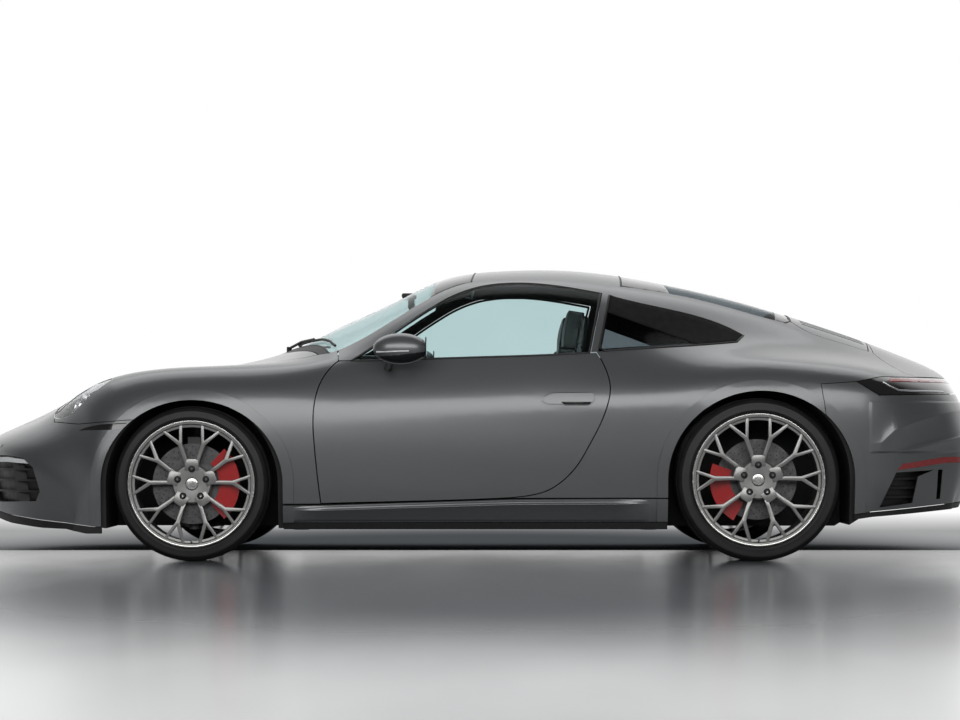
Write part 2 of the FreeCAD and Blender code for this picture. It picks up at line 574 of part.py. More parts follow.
# Side marker lamps, tail reflectors, plate recess and handle
MARKER = corners([(-1724, 566), (-1684, 580), (-1618, 592), (-1500, 599), (-1534, 570)])
REFLECTOR = corners([(1829, 394), (1853, 421), (2051, 450), (2500, 452), (2500, 428), (2064, 425)])
marker = layer(side_tool(MARKER), 1, 10)
half_bumper = half_bumper.cut(side_tool(MARKER, rest).cut(core(10 + rest)))
reflector_room = block(1700, 3000, -950, -480, 300, 500)
reflector = layer(side_tool(REFLECTOR).common(reflector_room), 1, 10)
half_rear = half_rear.cut(side_tool(REFLECTOR, rest).common(reflector_room).cut(core(10 + rest)))
PLATE = corners([(-268, 560), (268, 560), (250, 425), (-250, 425)])
half_rear = half_rear.cut(front_tool(PLATE, 0, 2100, 2400).cut(core(14)))
HANDLE = corners([(290, 692), (312, 680), (500, 680), (517, 700), (511, 730), (335, 728), (300, 712)])
door = door.cut(side_tool(HANDLE, 2).cut(side_tool(HANDLE, -1)).cut(core(5)))
door = door.fuse(layer(side_tool(HANDLE, -1), -4, 3))

# Vents at the rear corners, with a painted flap in each
VENT = corners([(1824, 384), (1750, 232), (2036, 268), (2046, 396)])
FLAP = corners([(1890, 200), (1926, 366), (2024, 402), (2014, 200)])
vent_slats = [block(1700, 2100, -900, -450, z, z + 9) for z in (272, 312, 352)]
half_rear = half_rear.cut(side_tool(VENT, y1=-450).cut(side_tool(FLAP)))
vent = layer(vent_slats[0].fuse(vent_slats[1:]).common(side_tool(VENT, -rest)), 24 + rest, 46)
vent = vent.fuse(layer(side_tool(VENT, 6, y1=-450), 46, 54))
vent_room = side_tool(VENT, 8, y1=-450).cut(core(54 + rest))

# Louvres in the engine lid
slots = [block(1480, 1762, 36 * k - 11, 36 * k + 11, 850, 1200) for k in range(-9, 10)]
engine_lid = engine_lid.cut(Part.makeCompound(slots))


def whole(half):
    return half.fuse(mirrored(half)).removeSplitter()


def pair(left):
    """Two separate pieces, one each side."""
    return Part.makeCompound([left, mirrored(left)])


# Hinge straps, each an arc about its hinge line that runs in a slot of the body
def arc_strap(line_point, inner, outer, start, sweep, width, by=0.0, crosswise=False):
    """Part of a ring about an upright or crosswise hinge line, its angles counted from +X by the right-hand rule."""
    low = Vector(0, 0, -width / 2 - by)
    tall = width + 2 * by
    spread = math.degrees(by / inner)
    ring = Part.makeCylinder(outer + by, tall, low, Vector(0, 0, 1), sweep + 2 * spread)
    ring = ring.cut(Part.makeCylinder(inner - by, tall, low))
    ring.rotate(Vector(), Vector(0, 0, 1), start - spread)
    if crosswise:
        ring.rotate(Vector(), Vector(1, 0, 0), -90)
    ring.translate(line_point)
    return ring


DOOR_HINGE = Vector(along(-700), across(-893), 0)
HOOD_HINGE = place(-650, 0, 930)
LID_HINGE = place(1425, 0, 1110)


def door_straps(by=0.0):
    straps = [arc_strap(DOOR_HINGE + Vector(0, 0, up(z)), 80, 90, 50, 110, 36, by) for z in (400, 650)]
    return straps[0].fuse(straps[1])


def hood_strap(by=0.0):
    return arc_strap(HOOD_HINGE + Vector(0, -530, 0), 135, 147, 76, 92, 20, by, crosswise=True)


def lid_strap(by=0.0):
    return arc_strap(LID_HINGE + Vector(0, -260, 0), 72, 84, 38, 95, 20, by, crosswise=True)


# Body tub, everything inside the panels less the cabin, the boots, the wheelhouses and the door openings
tub = core(skin + rest)
lid_stops = [Part.makeCylinder(9, 900, place(x, y, 300)) for x, y in ((-1700, -470), (-1050, -560), (1700, -408))]
lid_room = tub.cut(core(skin + 8)).common(hood_tool(3).fuse(engine_lid_tool(3)))
door_room = side_tool(DOOR, 4).cut(core(size("door_wall") + 7))
door_stop = core(size("door_wall") + rest).common(Part.makeCylinder(9, 200, place(548, -950, 640), Vector(0, 1, 0)))
door_room = door_room.cut(door_stop)
doorway = side_tool(DOOR, -30, y1=-700)
front_house = arch_tool(FRONT_HUB.x, FRONT_HUB.z, size("wheelhouse_front"), size("wheelhouse_front"),
                        size("wheelhouse_front"), y1=-490)
rear_house = arch_tool(REAR_HUB.x, REAR_HUB.z, size("wheelhouse_rear"), size("wheelhouse_rear"),
                       size("wheelhouse_rear"), y1=-545)
CABIN = corners([(-600, 190), (-600, 1500), (1010, 1500), (1010, 620), (790, 440), (740, 190)])
FOOTWELL = corners([(-980, 190), (-980, 560), (-590, 800), (-590, 190)])
JACK_POINTS = [(x, y) for x in (-760, 760) for y in (-720, 720)]
UNDER = corners([(-2600, 0), (-2600, 230), (-2186, 222), (-2050, 198), (-1888, 180), (-1771, 170), (-1600, 142),
                 (1600, 142), (1722, 218), (2120, 252), (2600, 264), (2600, 0)])
for stop in lid_stops:
    lid_room = lid_room.cut(stop).cut(mirrored(stop))
tub = tub.cut(lid_room)
for room in (door_room, doorway, door_straps(rest), hood_strap(rest), lid_strap(rest)):
    tub = tub.cut(room).cut(mirrored(room))
door = door.fuse(door_straps().common(core(skin + 5)))
front_lid = front_lid.fuse(hood_strap()).fuse(mirrored(hood_strap()))
engine_lid = engine_lid.fuse(lid_strap()).fuse(mirrored(lid_strap()))
tub = tub.cut(side_tool(UNDER, 0, -HUGE, HUGE))
tub = tub.cut(side_tool(CABIN, 0, across(-800), across(800))).cut(side_tool(FOOTWELL, 0, across(-470), across(470)))
tub = tub.cut(block(-870, 1436, -1000, 1000, 880, 1500))
tub = tub.cut(block(-1880, -1010, -430, 430, 240, 1000))
tub = tub.cut(block(1200, 2060, -500, 500, 262, 850)).cut(block(1450, 1786, -390, 390, 800, 1300))
for house in (front_house, rear_house):
    tub = tub.cut(house).cut(mirrored(house))
for x, y in JACK_POINTS:
    tub = tub.fuse(Part.makeCylinder(35, 20, Vector(along(x), across(y), up(132))))
lamp_room = lamp_tool(rest).cut(core(60 + rest))
for room in (lamp_room, duct_room, vent_room):
    tub = tub.cut(room).cut(mirrored(room))
tub = tub.cut(middle_duct)

# Wheels and hubs
MIDDLE = "(sizes.front_overhang - sizes.rear_overhang) / 2"
AXLE_EXPRESSION = {"front": f"-sizes.wheelbase / 2 + {MIDDLE}", "rear": f"sizes.wheelbase / 2 + {MIDDLE}"}


def at_hub(obj, end, side):
    """Puts a wheel part at its hub; the right side is the left one turned about."""
    sign = "-" if side == "left" else ""
    obj.setExpression("Placement.Base.x", AXLE_EXPRESSION[end])
    obj.setExpression("Placement.Base.y", f"{sign}sizes.track_{end} / 2")
    obj.setExpression("Placement.Base.z", f"sizes.tyre_radius_{end}")
    if side == "right":
        obj.Placement.Rotation = Rotation(Vector(0, 0, 1), 180)


def origin_plane(body, role):
    return next(f for f in body.Origin.OriginFeatures if f.Role == role)


def add_sketch(body, role, loops, label):
    sketch = body.newObject("Sketcher::SketchObject", label)
    sketch.AttachmentSupport = [(origin_plane(body, role), "")]
    sketch.MapMode = "FlatFace"
    for loop in loops:
        first = sketch.GeometryCount
        for geometry in loop:
            sketch.addGeometry(geometry, False)
        for k in range(len(loop)):
            if len(loop) > 1:
                sketch.addConstraint(Sketcher.Constraint("Coincident", first + k, 2, first + (k + 1) % len(loop), 1))
    return sketch


def flat_loop(points):
    spots = [Vector(a, b, 0) for a, b in points]
    return [Part.LineSegment(p, q) for p, q in zip(spots, spots[1:] + spots[:1])]


def revolved(body, loops, label):
    """A ring about the wheel's own axle, sketched as distance along it and radius."""
    sketch = add_sketch(body, "YZ_Plane", loops, label + "_profile")
    ring = body.newObject("PartDesign::Revolution", label)
    ring.Profile = sketch
    ring.ReferenceAxis = (sketch, ["H_Axis"])
    ring.Angle = 360
    doc.recompute()
    return ring


def tyre_profile(half, rim, radius):
    seat = rim - 11.5
    right = [(half - 13.5, seat), (half - 13.5, rim + 1), (half - 4, rim + 7), (half, (rim + radius) / 2 + 4),
             (half - 7, radius - 16), (half - 22, radius - 3), (half - 50, radius)]
    return flat_loop(right + [(-a, b) for a, b in reversed(right)])


def rim_profile(half, rim):
    seat, wall = rim - 12, 9
    return flat_loop([(-half + 4, rim), (-half + 12, rim), (-half + 13, seat), (half - 13, seat), (half - 12, rim),
                      (half - 4, rim), (half - 6, seat - wall + 2), (half - 20, seat - wall), (-half + 40, seat - wall),
                      (-half + 8, seat - wall + 3)])


def polar(radius, degrees):
    return radius * math.cos(math.radians(degrees)), radius * math.sin(math.radians(degrees))


def fork(rim, turn):
    """One leg of the forked spoke over the wheel, with its Y at the rim; turn is -1 or 1."""
    split = 0.67 * rim
    reach = rim - 18
    turns = [(76, 3), (0.42 * rim, 7), (split, 14.5), (reach, 7), (reach, 12), (split + 12, 18), (reach, 25.5),
             (reach, 30.5), (split, 22), (0.42 * rim, 16), (76, 20)]
    return flat_loop([polar(radius, 90 + turn * angle) for radius, angle in turns])


def make_tyre(name, half, rim, radius):
    tyre = doc.addObject("PartDesign::Body", name)
    revolved(tyre, [tyre_profile(half, rim, radius)], name + "_ring")
    return tyre


def make_rim(name, half, rim):
    wheel = doc.addObject("PartDesign::Body", name)
    revolved(wheel, [rim_profile(half, rim)], name + "_barrel")
    revolved(wheel, [flat_loop([(-half + 33, 22), (-half + 30, 60), (-half + 34, 84), (-50, 84), (-50, 30),
                                (-half + 44, 30), (-half + 44, 22)])], name + "_hub")
    spokes = add_sketch(wheel, "XZ_Plane", [fork(rim, -1), fork(rim, 1)], name + "_spokes")
    spokes.AttachmentOffset = Placement(Vector(0, 0, half - 18), Rotation())
    pad = wheel.newObject("PartDesign::Pad", name + "_spoke_pad")
    pad.Profile = spokes
    pad.Length = 34
    pad.Reversed = True
    doc.recompute()
    pattern = wheel.newObject("PartDesign::PolarPattern", name + "_spoke_ring")
    pattern.Originals = [pad]
    pattern.Axis = (spokes, ["N_Axis"])
    pattern.Angle = 360
    pattern.Occurrences = 5
    wheel.Tip = pattern
    return wheel


def make_disc(name, radius):
    disc = doc.addObject("PartDesign::Body", name)
    revolved(disc, [flat_loop([(-49.7, 30), (-49.7, 82), (-46, 82), (-46, radius), (-14, radius), (-14, 110),
                               (-38, 104), (-38, 30)])], name + "_ring")
    return disc


def make_wheel(end, side):
    half, rim = size(f"tyre_width_{end}") / 2, size(f"rim_radius_{end}")
    tyre = make_tyre(f"tyre_{end}_{side}", half, rim, size(f"tyre_radius_{end}"))
    wheel = make_rim(f"rim_{end}_{side}", half, rim)
    disc = make_disc(f"brake_disc_{end}_{side}", size(f"disc_radius_{end}"))
    doc.recompute()
    for obj in (tyre, wheel, disc):
        at_hub(obj, end, side)
    return tyre, wheel, disc


pieces = {}
for end in ("front", "rear"):
    for side in ("left", "right"):
        for obj in make_wheel(end, side):
            pieces[obj.Name] = obj
doc.recompute()


def cylinder_y(radius, y0, y1, x, z):
    return Part.makeCylinder(radius, y1 - y0, Vector(x, y0, z), Vector(0, 1, 0))


def rod(a, b, radius):
    return Part.makeCylinder(radius, (b - a).Length, a, b - a)


def caliper_at(hub, middle, sweep):
    """A brake caliper, an arc of a thick ring with a slot for the disc."""
    outer_face, inner_face = hub.y - 59, hub.y + 9.7
    ring = cylinder_y(205, outer_face, inner_face, hub.x, hub.z).cut(cylinder_y(117, outer_face, inner_face, hub.x, hub.z))
    slot = cylinder_y(181, hub.y - 51.5, hub.y - 8.5, hub.x, hub.z)
    wedge_points = [Vector(hub.x, outer_face, hub.z)]
    for k in range(-2, 3):
        a, b = polar(320, middle + k * sweep / 4)
        wedge_points.append(Vector(hub.x + a, outer_face, hub.z + b))
    wedge = Part.Face(Part.makePolygon(wedge_points + wedge_points[:1])).extrude(Vector(0, inner_face - outer_face, 0))
    return ring.common(wedge).cut(slot)


kingpin = Vector(FRONT_HUB.x, FRONT_HUB.y + 22, 0)
front_caliper = caliper_at(FRONT_HUB, 0, 96)
rear_caliper = caliper_at(REAR_HUB, 200, 80)
carrier = cylinder_y(58, FRONT_HUB.y - 8, FRONT_HUB.y + 46, FRONT_HUB.x, FRONT_HUB.z)
carrier = carrier.fuse(cylinder_y(30 - rest, FRONT_HUB.y - 62, FRONT_HUB.y + 20, FRONT_HUB.x, FRONT_HUB.z))
carrier = carrier.fuse(Part.makeBox(56, 34, 370, Vector(kingpin.x - 28, kingpin.y - 12, 168)))
carrier = carrier.fuse(Part.makeBox(50, 150, 40, Vector(kingpin.x - 25, kingpin.y, 498)))
carrier = carrier.fuse(Part.makeCylinder(27, 450, Vector(kingpin.x, kingpin.y + 130, 225), Vector(0, 0, 1)))
carrier = carrier.fuse(Part.makeBox(180, 26, 70, Vector(kingpin.x, kingpin.y - 12, FRONT_HUB.z - 35)))
knuckle = carrier.removeSplitter()

arm = rod(Vector(kingpin.x - 150, -330, 165), Vector(kingpin.x, kingpin.y, 148), 14)
arm = arm.fuse(rod(Vector(kingpin.x + 190, -330, 165), Vector(kingpin.x, kingpin.y, 148), 14))
arm = arm.fuse(Part.makeCylinder(24, 32 - rest, Vector(kingpin.x, kingpin.y, 136)))
tie = rod(Vector(kingpin.x + 120, -330, 240), Vector(kingpin.x + 120, -590, 240), 9)
front_half = arm.common(block(-3000, 3000, -2000, -490.3, 0, 2000)).fuse(tie.common(block(-3000, 3000, -2000, -490.3, 0, 2000)))

rear_hub = cylinder_y(60, REAR_HUB.y - 8, REAR_HUB.y + 60, REAR_HUB.x, REAR_HUB.z)
rear_hub = rear_hub.fuse(cylinder_y(30 - rest, REAR_HUB.y - 62, REAR_HUB.y + 20, REAR_HUB.x, REAR_HUB.z))
rear_hub = rear_hub.fuse(Part.makeBox(170, 26, 90, Vector(REAR_HUB.x - 170, REAR_HUB.y + 10, REAR_HUB.z - 100)))
rear_hub = rear_hub.fuse(cylinder_y(26, REAR_HUB.y + 20, -545.3, REAR_HUB.x, REAR_HUB.z))
for dx, z0, z1 in ((-120, 200, 230), (140, 200, 230), (0, 470, 500)):
    rear_hub = rear_hub.fuse(rod(Vector(REAR_HUB.x + dx, -530, z0), Vector(REAR_HUB.x + dx / 4, REAR_HUB.y + 40, z1), 15))
rear_hub = rear_hub.fuse(Part.makeBox(60, 34, 320, Vector(REAR_HUB.x - 30, REAR_HUB.y + 22, 205)))
rear_hub = rear_hub.common(block(-3000, 3000, -2000, -545.3, 0, 2000))

# Cabin
SEAT = corners([(-130, 300), (-150, 390), (-90, 430), (300, 385), (390, 960), (400, 1070), (430, 1105), (478, 1100),
                (480, 1040), (430, 380), (380, 300)])
seat = side_tool(SEAT, 0, -600, -140)
for y in (-560, -220):
    seat = seat.fuse(block(-90, 340, y, y + 40, 190.3, 310))
REAR_SEAT = corners([(640, 190.3), (620, 480), (790, 470), (880, 800), (940, 820), (1003, 625), (780, 445),
                     (738, 190.3)])
rear_seat = side_tool(REAR_SEAT, 0, -520, -90)
DASH = corners([(-599.7, 560), (-599.7, 878), (-560, 893), (-450, 865), (-400, 770), (-430, 640), (-540, 560)])
dash = side_tool(DASH, 0, -690, 690).fuse(block(-800, -560, -420, 420, 880.3, 893))
dash = dash.fuse(block(-650, -560, -600, 600, 880.3, 890)).common(core(size("door_wall") + 8))
wheel_centre = Vector(-300, -370, 800)
wheel_axis = Vector(-0.92, 0, -0.39).normalize()
steering = Part.makeTorus(178, 15, wheel_centre, wheel_axis)
steering = steering.fuse(Part.makeCylinder(60, 30, wheel_centre - wheel_axis * 5, wheel_axis))
steering = steering.fuse(Part.makeCylinder(28, 110, wheel_centre, wheel_axis))
for angle in (0, 180, 270):
    spoke = Part.makeBox(160, 34, 12, Vector(20, -17, -6))
    spoke.rotate(Vector(0, 0, 0), Vector(0, 0, 1), angle)
    spoke.Placement = Placement(wheel_centre, Rotation(Vector(0, 0, 1), wheel_axis)).multiply(spoke.Placement)
    steering = steering.fuse(spoke)
steering = steering.cut(dash)
mirror = Part.makeSphere(1, Vector(0, 0, 0))
grow = Matrix()
grow.scale(118, 54, 66)
mirror = mirror.transformGeometry(grow)
mirror.translate(Vector(-320, -958, 918))
mirror = mirror.cut(Part.makeBox(300, 300, 300, Vector(-212, -1100, 800)))
mirror = mirror.fuse(rod(Vector(-385, -790, 828), Vector(-350, -955, 890), 16)).cut(door)


# Engine and exhaust
engine = block(1330, 1830, -350, 350, 262.3, 690)
silencer = block(1880, 2050, -460, 460, 280, 400)
for y in (-300, 260):
    silencer = silencer.fuse(block(1940, 1990, y, y + 40, 262.3, 290))
tips = []
for y in (-330, -430):
    tips.append(Part.makeCylinder(44, 240, Vector(2020, y, 385), Vector(1, 0, 0))
                .cut(Part.makeCylinder(40, 240, Vector(2070, y, 385), Vector(1, 0, 0))))
tip_room = Part.makeCylinder(60, 300, Vector(2000, -330, 385), Vector(1, 0, 0)).fuse(
    Part.makeCylinder(60, 300, Vector(2000, -430, 385), Vector(1, 0, 0)))
exhaust = silencer
for tip in tips:
    exhaust = exhaust.fuse(tip).fuse(mirrored(tip))
tub = tub.cut(tip_room).cut(mirrored(tip_room))
half_rear = half_rear.cut(tip_room)



def tub_part(x0, x1):
    return tub.common(block(x0, x1, -2000, 2000, 0, 2000))


boot_end, cabin_start, cabin_end = -1010, -600, 822
panels = {
    "front_structure": tub_part(-3000, boot_end - rest), "bulkhead": tub_part(boot_end, cabin_start - rest),
    "floor_pan": tub_part(cabin_start, cabin_end), "rear_structure": tub_part(cabin_end + rest, 3000),
    "front_lid": front_lid, "cowl": cowl, "roof": roof, "engine_lid": engine_lid,
    "rear_spoiler": rear_spoiler, "windscreen": windscreen, "rear_window": rear_window,
    "fender_left": fender, "fender_right": mirrored(fender),
    "door_left": door, "door_right": mirrored(door),
    "door_glass_left": door_glass, "door_glass_right": mirrored(door_glass),
    "quarter_glass": pair(quarter_glass),
    "side_frame_left": side_frame, "side_frame_right": mirrored(side_frame), "sills": pair(sill), "skirts": pair(skirt),
    "front_lip": whole(half_lip), "rear_diffuser": whole(half_diffuser),
    "front_bumper": whole(half_bumper), "tail_light": whole(half_tail), "rear_bumper": whole(half_rear),
    "intake_grilles": Part.makeCompound([side_grille, mirrored(side_grille), middle_grille, vent, mirrored(vent)]),
    "day_lamps": pair(day_lamp), "side_markers": pair(marker), "tail_reflectors": pair(reflector),
    "headlamps": pair(lamp), "headlamp_lenses": pair(lamp_lens), "mirror_left": mirror, "mirror_right": mirrored(mirror),
    "knuckle_left": knuckle, "knuckle_right": mirrored(knuckle),
    "caliper_front_left": front_caliper, "caliper_front_right": mirrored(front_caliper),
    "calipers_rear": pair(rear_caliper), "front_suspension": pair(front_half), "rear_suspension": pair(rear_hub),
    "front_seats": pair(seat), "rear_seats": pair(rear_seat), "dashboard": dash, "steering_wheel": steering,
    "engine": engine, "exhaust": exhaust,
}
for name, shape in panels.items():
    feature = doc.addObject("Part::Feature", name)
    feature.Shape = shape
    feature.setExpression("Placement.Base.x", MIDDLE)
    pieces[name] = feature

doc.recompute()
os.makedirs("parts", exist_ok=True)
for name, obj in pieces.items():
    obj.Label = name
    shape = obj.Shape
    if "Invalid" in obj.State or "Error" in obj.State or shape.isNull() or not shape.isValid():
        raise RuntimeError(f"{name} did not build")
    print(name, round(shape.Volume / 1e6, 2), len(shape.Solids), len(shape.Faces))
    shape.exportStep(f"parts/{name}.step")
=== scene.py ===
import math

import bpy
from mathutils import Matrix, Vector
from mathutils.bvhtree import BVHTree


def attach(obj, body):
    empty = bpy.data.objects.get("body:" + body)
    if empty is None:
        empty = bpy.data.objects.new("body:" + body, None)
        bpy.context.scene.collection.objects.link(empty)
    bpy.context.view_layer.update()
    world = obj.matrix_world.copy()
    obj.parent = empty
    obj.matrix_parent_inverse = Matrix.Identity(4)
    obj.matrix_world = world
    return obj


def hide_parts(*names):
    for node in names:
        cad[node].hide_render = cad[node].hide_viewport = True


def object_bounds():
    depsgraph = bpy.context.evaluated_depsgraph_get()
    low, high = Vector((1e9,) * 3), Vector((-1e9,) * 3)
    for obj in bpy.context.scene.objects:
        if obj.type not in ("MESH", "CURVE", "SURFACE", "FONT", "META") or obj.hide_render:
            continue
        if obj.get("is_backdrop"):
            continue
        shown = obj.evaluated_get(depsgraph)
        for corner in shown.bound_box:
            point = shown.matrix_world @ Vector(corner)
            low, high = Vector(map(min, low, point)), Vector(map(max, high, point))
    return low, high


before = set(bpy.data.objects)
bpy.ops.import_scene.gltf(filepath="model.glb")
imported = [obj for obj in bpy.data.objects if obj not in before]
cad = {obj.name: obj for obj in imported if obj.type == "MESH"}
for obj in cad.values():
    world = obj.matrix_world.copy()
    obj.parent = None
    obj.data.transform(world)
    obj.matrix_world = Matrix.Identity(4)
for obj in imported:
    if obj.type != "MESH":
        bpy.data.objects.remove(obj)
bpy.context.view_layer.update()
scene = bpy.context.scene

# Places shared with the solids, in metres
MIDDLE = -0.0025
WHEELS = {
    "front": {"x": -1.225 + MIDDLE, "y": 0.7885, "z": 0.335, "half": 0.119, "rim": 0.275, "tyre": 0.335},
    "rear": {"x": 1.225 + MIDDLE, "y": 0.7645, "z": 0.353, "half": 0.146, "rim": 0.288, "tyre": 0.353},
}
SIDES = {"left": -1, "right": 1}
LUG_RADIUS = 0.065


# Finishes
def finish(name, color, metallic=0.0, roughness=0.5, **sockets):
    """A material with its plain values set on the shader's own sockets."""
    look = bpy.data.materials.new(name)
    look.use_nodes = True
    shader = look.node_tree.nodes["Principled BSDF"]
    shader.inputs["Base Color"].default_value = (*color, 1)
    shader.inputs["Metallic"].default_value = metallic
    shader.inputs["Roughness"].default_value = roughness
    for socket, value in sockets.items():
        shader.inputs[socket.replace("_", " ")].default_value = value
    return look


def node(look, kind, **values):
    made = look.node_tree.nodes.new(kind)
    for key, value in values.items():
        if key in made.inputs:
            made.inputs[key].default_value = value
        else:
            setattr(made, key, value)
    return made


def grain(look, scale, strength, distance=0.0005, kind="ShaderNodeTexNoise", detail=4.0, stretch=(1, 1, 1)):
    """Fine relief over the surface, at its real size."""
    link = look.node_tree.links.new
    shader = look.node_tree.nodes["Principled BSDF"]
    place = node(look, "ShaderNodeTexCoord")
    turn = node(look, "ShaderNodeMapping")
    turn.inputs["Scale"].default_value = stretch
    pattern = node(look, kind)
    pattern.inputs["Scale"].default_value = scale
    if "Detail" in pattern.inputs:
        pattern.inputs["Detail"].default_value = detail
    bump = node(look, "ShaderNodeBump")
    bump.inputs["Strength"].default_value = strength
    bump.inputs["Distance"].default_value = distance
    link(place.outputs["Object"], turn.inputs["Vector"])
    link(turn.outputs["Vector"], pattern.inputs["Vector"])
    link(pattern.outputs[0], bump.inputs["Height"])
    link(bump.outputs["Normal"], shader.inputs["Normal"])
    return pattern


def mottle(look, dark, light, scale, low=0.35, high=0.65, target="Base Color", detail=3.0, stretch=(1, 1, 1)):
    """A slow change of tone or gloss over the surface."""
    link = look.node_tree.links.new
    shader = look.node_tree.nodes["Principled BSDF"]
    place = node(look, "ShaderNodeTexCoord")
    turn = node(look, "ShaderNodeMapping")
    turn.inputs["Scale"].default_value = stretch
    pattern = node(look, "ShaderNodeTexNoise")
    pattern.inputs["Scale"].default_value = scale
    pattern.inputs["Detail"].default_value = detail
    ramp = node(look, "ShaderNodeValToRGB")
    ramp.color_ramp.elements[0].position = low
    ramp.color_ramp.elements[1].position = high
    ramp.color_ramp.elements[0].color = (*dark, 1)
    ramp.color_ramp.elements[1].color = (*light, 1)
    link(place.outputs["Object"], turn.inputs["Vector"])
    link(turn.outputs["Vector"], pattern.inputs["Vector"])
    link(pattern.outputs[0], ramp.inputs["Fac"])
    link(ramp.outputs["Color"], shader.inputs[target])


def tone(value):
    return (value, value, value)


paint = finish("grey_metallic_paint", (0.122, 0.127, 0.132), 0.6, 0.38, Coat_Weight=0.8, Coat_Roughness=0.16)
mottle(paint, (0.119, 0.124, 0.128), (0.131, 0.136, 0.140), 900, detail=1.0)
# Gloss black paint for black parts; on the door handles the same material is painted shade in the recess
black_paint_and_shade = finish("gloss_black_and_painted_shade", (0.006, 0.006, 0.007), 0.0, 0.16, Coat_Weight=0.6,
                     Coat_Roughness=0.03)
mottle(black_paint_and_shade, tone(0.12), tone(0.2), 14, target="Roughness")
trim = finish("black_grained_plastic", (0.012, 0.012, 0.013), 0.0, 0.55)
grain(trim, 700, 0.12, 0.0002)
mottle(trim, (0.010, 0.010, 0.011), (0.016, 0.016, 0.017), 22)
mesh_black = finish("grille_black", (0.008, 0.008, 0.009), 0.0, 0.42)
mottle(mesh_black, tone(0.36), tone(0.5), 30, target="Roughness")
under = finish("underbody_black", (0.014, 0.014, 0.015), 0.0, 0.75)
grain(under, 420, 0.4, 0.0006)
mottle(under, (0.011, 0.011, 0.012), (0.022, 0.022, 0.022), 6)
rubber = finish("tyre_rubber", (0.007, 0.007, 0.007), 0.0, 0.55)
grain(rubber, 500, 0.12, 0.0003)
mottle(rubber, (0.005, 0.005, 0.005), (0.010, 0.010, 0.010), 18)
seal_rubber = finish("seal_rubber", (0.008, 0.008, 0.009), 0.0, 0.5)
grain(seal_rubber, 600, 0.1, 0.0002)
rim_grey = finish("rim_satin_grey", (0.27, 0.27, 0.262), 0.8, 0.36, Coat_Weight=0.4, Coat_Roughness=0.12)
mottle(rim_grey, (0.255, 0.255, 0.247), (0.285, 0.285, 0.277), 900, detail=2.0)
# Painted shade: a dark lining inside the rim's barrel, where the wheel's interior is in shade
rim_painted_shade = finish("rim_inner_painted_shade", (0.02, 0.02, 0.021), 0.4, 0.5)
mottle(rim_painted_shade, (0.016, 0.016, 0.017), (0.028, 0.028, 0.029), 40)
rim_polish = finish("rim_polished_edge", (0.62, 0.62, 0.60), 1.0, 0.22)
mottle(rim_polish, tone(0.18), tone(0.28), 60, target="Roughness")
disc_steel = finish("brake_disc_steel", (0.09, 0.09, 0.092), 0.8, 0.42)
grain(disc_steel, 500, 0.15, 0.0002, detail=1.0, stretch=(1, 0.02, 1))
mottle(disc_steel, (0.075, 0.075, 0.077), (0.11, 0.11, 0.112), 55)
# Painted shade: flat black discs stand for the dark insides of the brake discs' drilled holes
hole_painted_shade = finish("drilled_hole_painted_shade", (0.01, 0.01, 0.01), 0.0, 0.8)
mottle(hole_painted_shade, tone(0.7), tone(0.9), 300, target="Roughness")
caliper_red = finish("caliper_red_paint", (0.44, 0.003, 0.005), 0.0, 0.25, Coat_Weight=1.0,
                     Coat_Roughness=0.04)
mottle(caliper_red, (0.41, 0.003, 0.004), (0.47, 0.004, 0.006), 80)
bolt_black = finish("bolt_black_steel", (0.03, 0.03, 0.03), 0.7, 0.35)
mottle(bolt_black, tone(0.28), tone(0.42), 400, target="Roughness")
arm_metal = finish("arm_cast_metal", (0.10, 0.10, 0.10), 0.6, 0.6)
grain(arm_metal, 350, 0.4, 0.0005)
engine_metal = finish("engine_cast_metal", (0.26, 0.26, 0.26), 0.7, 0.55)
grain(engine_metal, 260, 0.5, 0.0008)
pipe = finish("exhaust_steel", (0.42, 0.41, 0.40), 1.0, 0.25)
mottle(pipe, tone(0.2), tone(0.36), 40, target="Roughness")
leather = finish("black_leather", (0.016, 0.016, 0.017), 0.0, 0.48)
grain(leather, 420, 0.15, 0.0004, kind="ShaderNodeTexVoronoi")
mottle(leather, (0.013, 0.013, 0.014), (0.021, 0.021, 0.022), 9)
lining = finish("cabin_lining", (0.010, 0.010, 0.011), 0.0, 0.9, Specular_IOR_Level=0.2)
grain(lining, 500, 0.1, 0.0003)
mottle(lining, (0.008, 0.008, 0.009), (0.012, 0.012, 0.013), 30)
carpet = finish("floor_carpet", (0.012, 0.012, 0.012), 0.0, 0.95, Sheen_Weight=0.3)
grain(carpet, 800, 0.4, 0.001)
screen_black = finish("dial_glass_black", (0.004, 0.004, 0.005), 0.0, 0.08, Coat_Weight=0.8)
mottle(screen_black, tone(0.06), tone(0.12), 10, target="Roughness")
silver = finish("lamp_silver", (0.62, 0.63, 0.64), 1.0, 0.18)
mottle(silver, tone(0.14), tone(0.24), 90, target="Roughness")
mirror_glass = finish("mirror_glass", (0.75, 0.78, 0.80), 1.0, 0.03)
mottle(mirror_glass, tone(0.02), tone(0.05), 12, target="Roughness")
window = finish("window_glass", (0.69, 0.80, 0.805), 0.0, 0.0, Transmission_Weight=1.0, IOR=1.02,
                Coat_Weight=0.3, Coat_Roughness=0.12)
mottle(window, (0.68, 0.795, 0.80), (0.70, 0.805, 0.81), 3)
dark_window = finish("privacy_glass", (0.30, 0.34, 0.36), 0.0, 0.0, Transmission_Weight=1.0, IOR=1.02,
                     Coat_Weight=0.15, Coat_Roughness=0.12)
mottle(dark_window, (0.28, 0.32, 0.34), (0.32, 0.36, 0.38), 3)
lens = finish("clear_lens", (0.93, 0.95, 0.96), 0.0, 0.02, Transmission_Weight=1.0, IOR=1.4)
mottle(lens, (0.92, 0.94, 0.95), (0.94, 0.96, 0.97), 8)
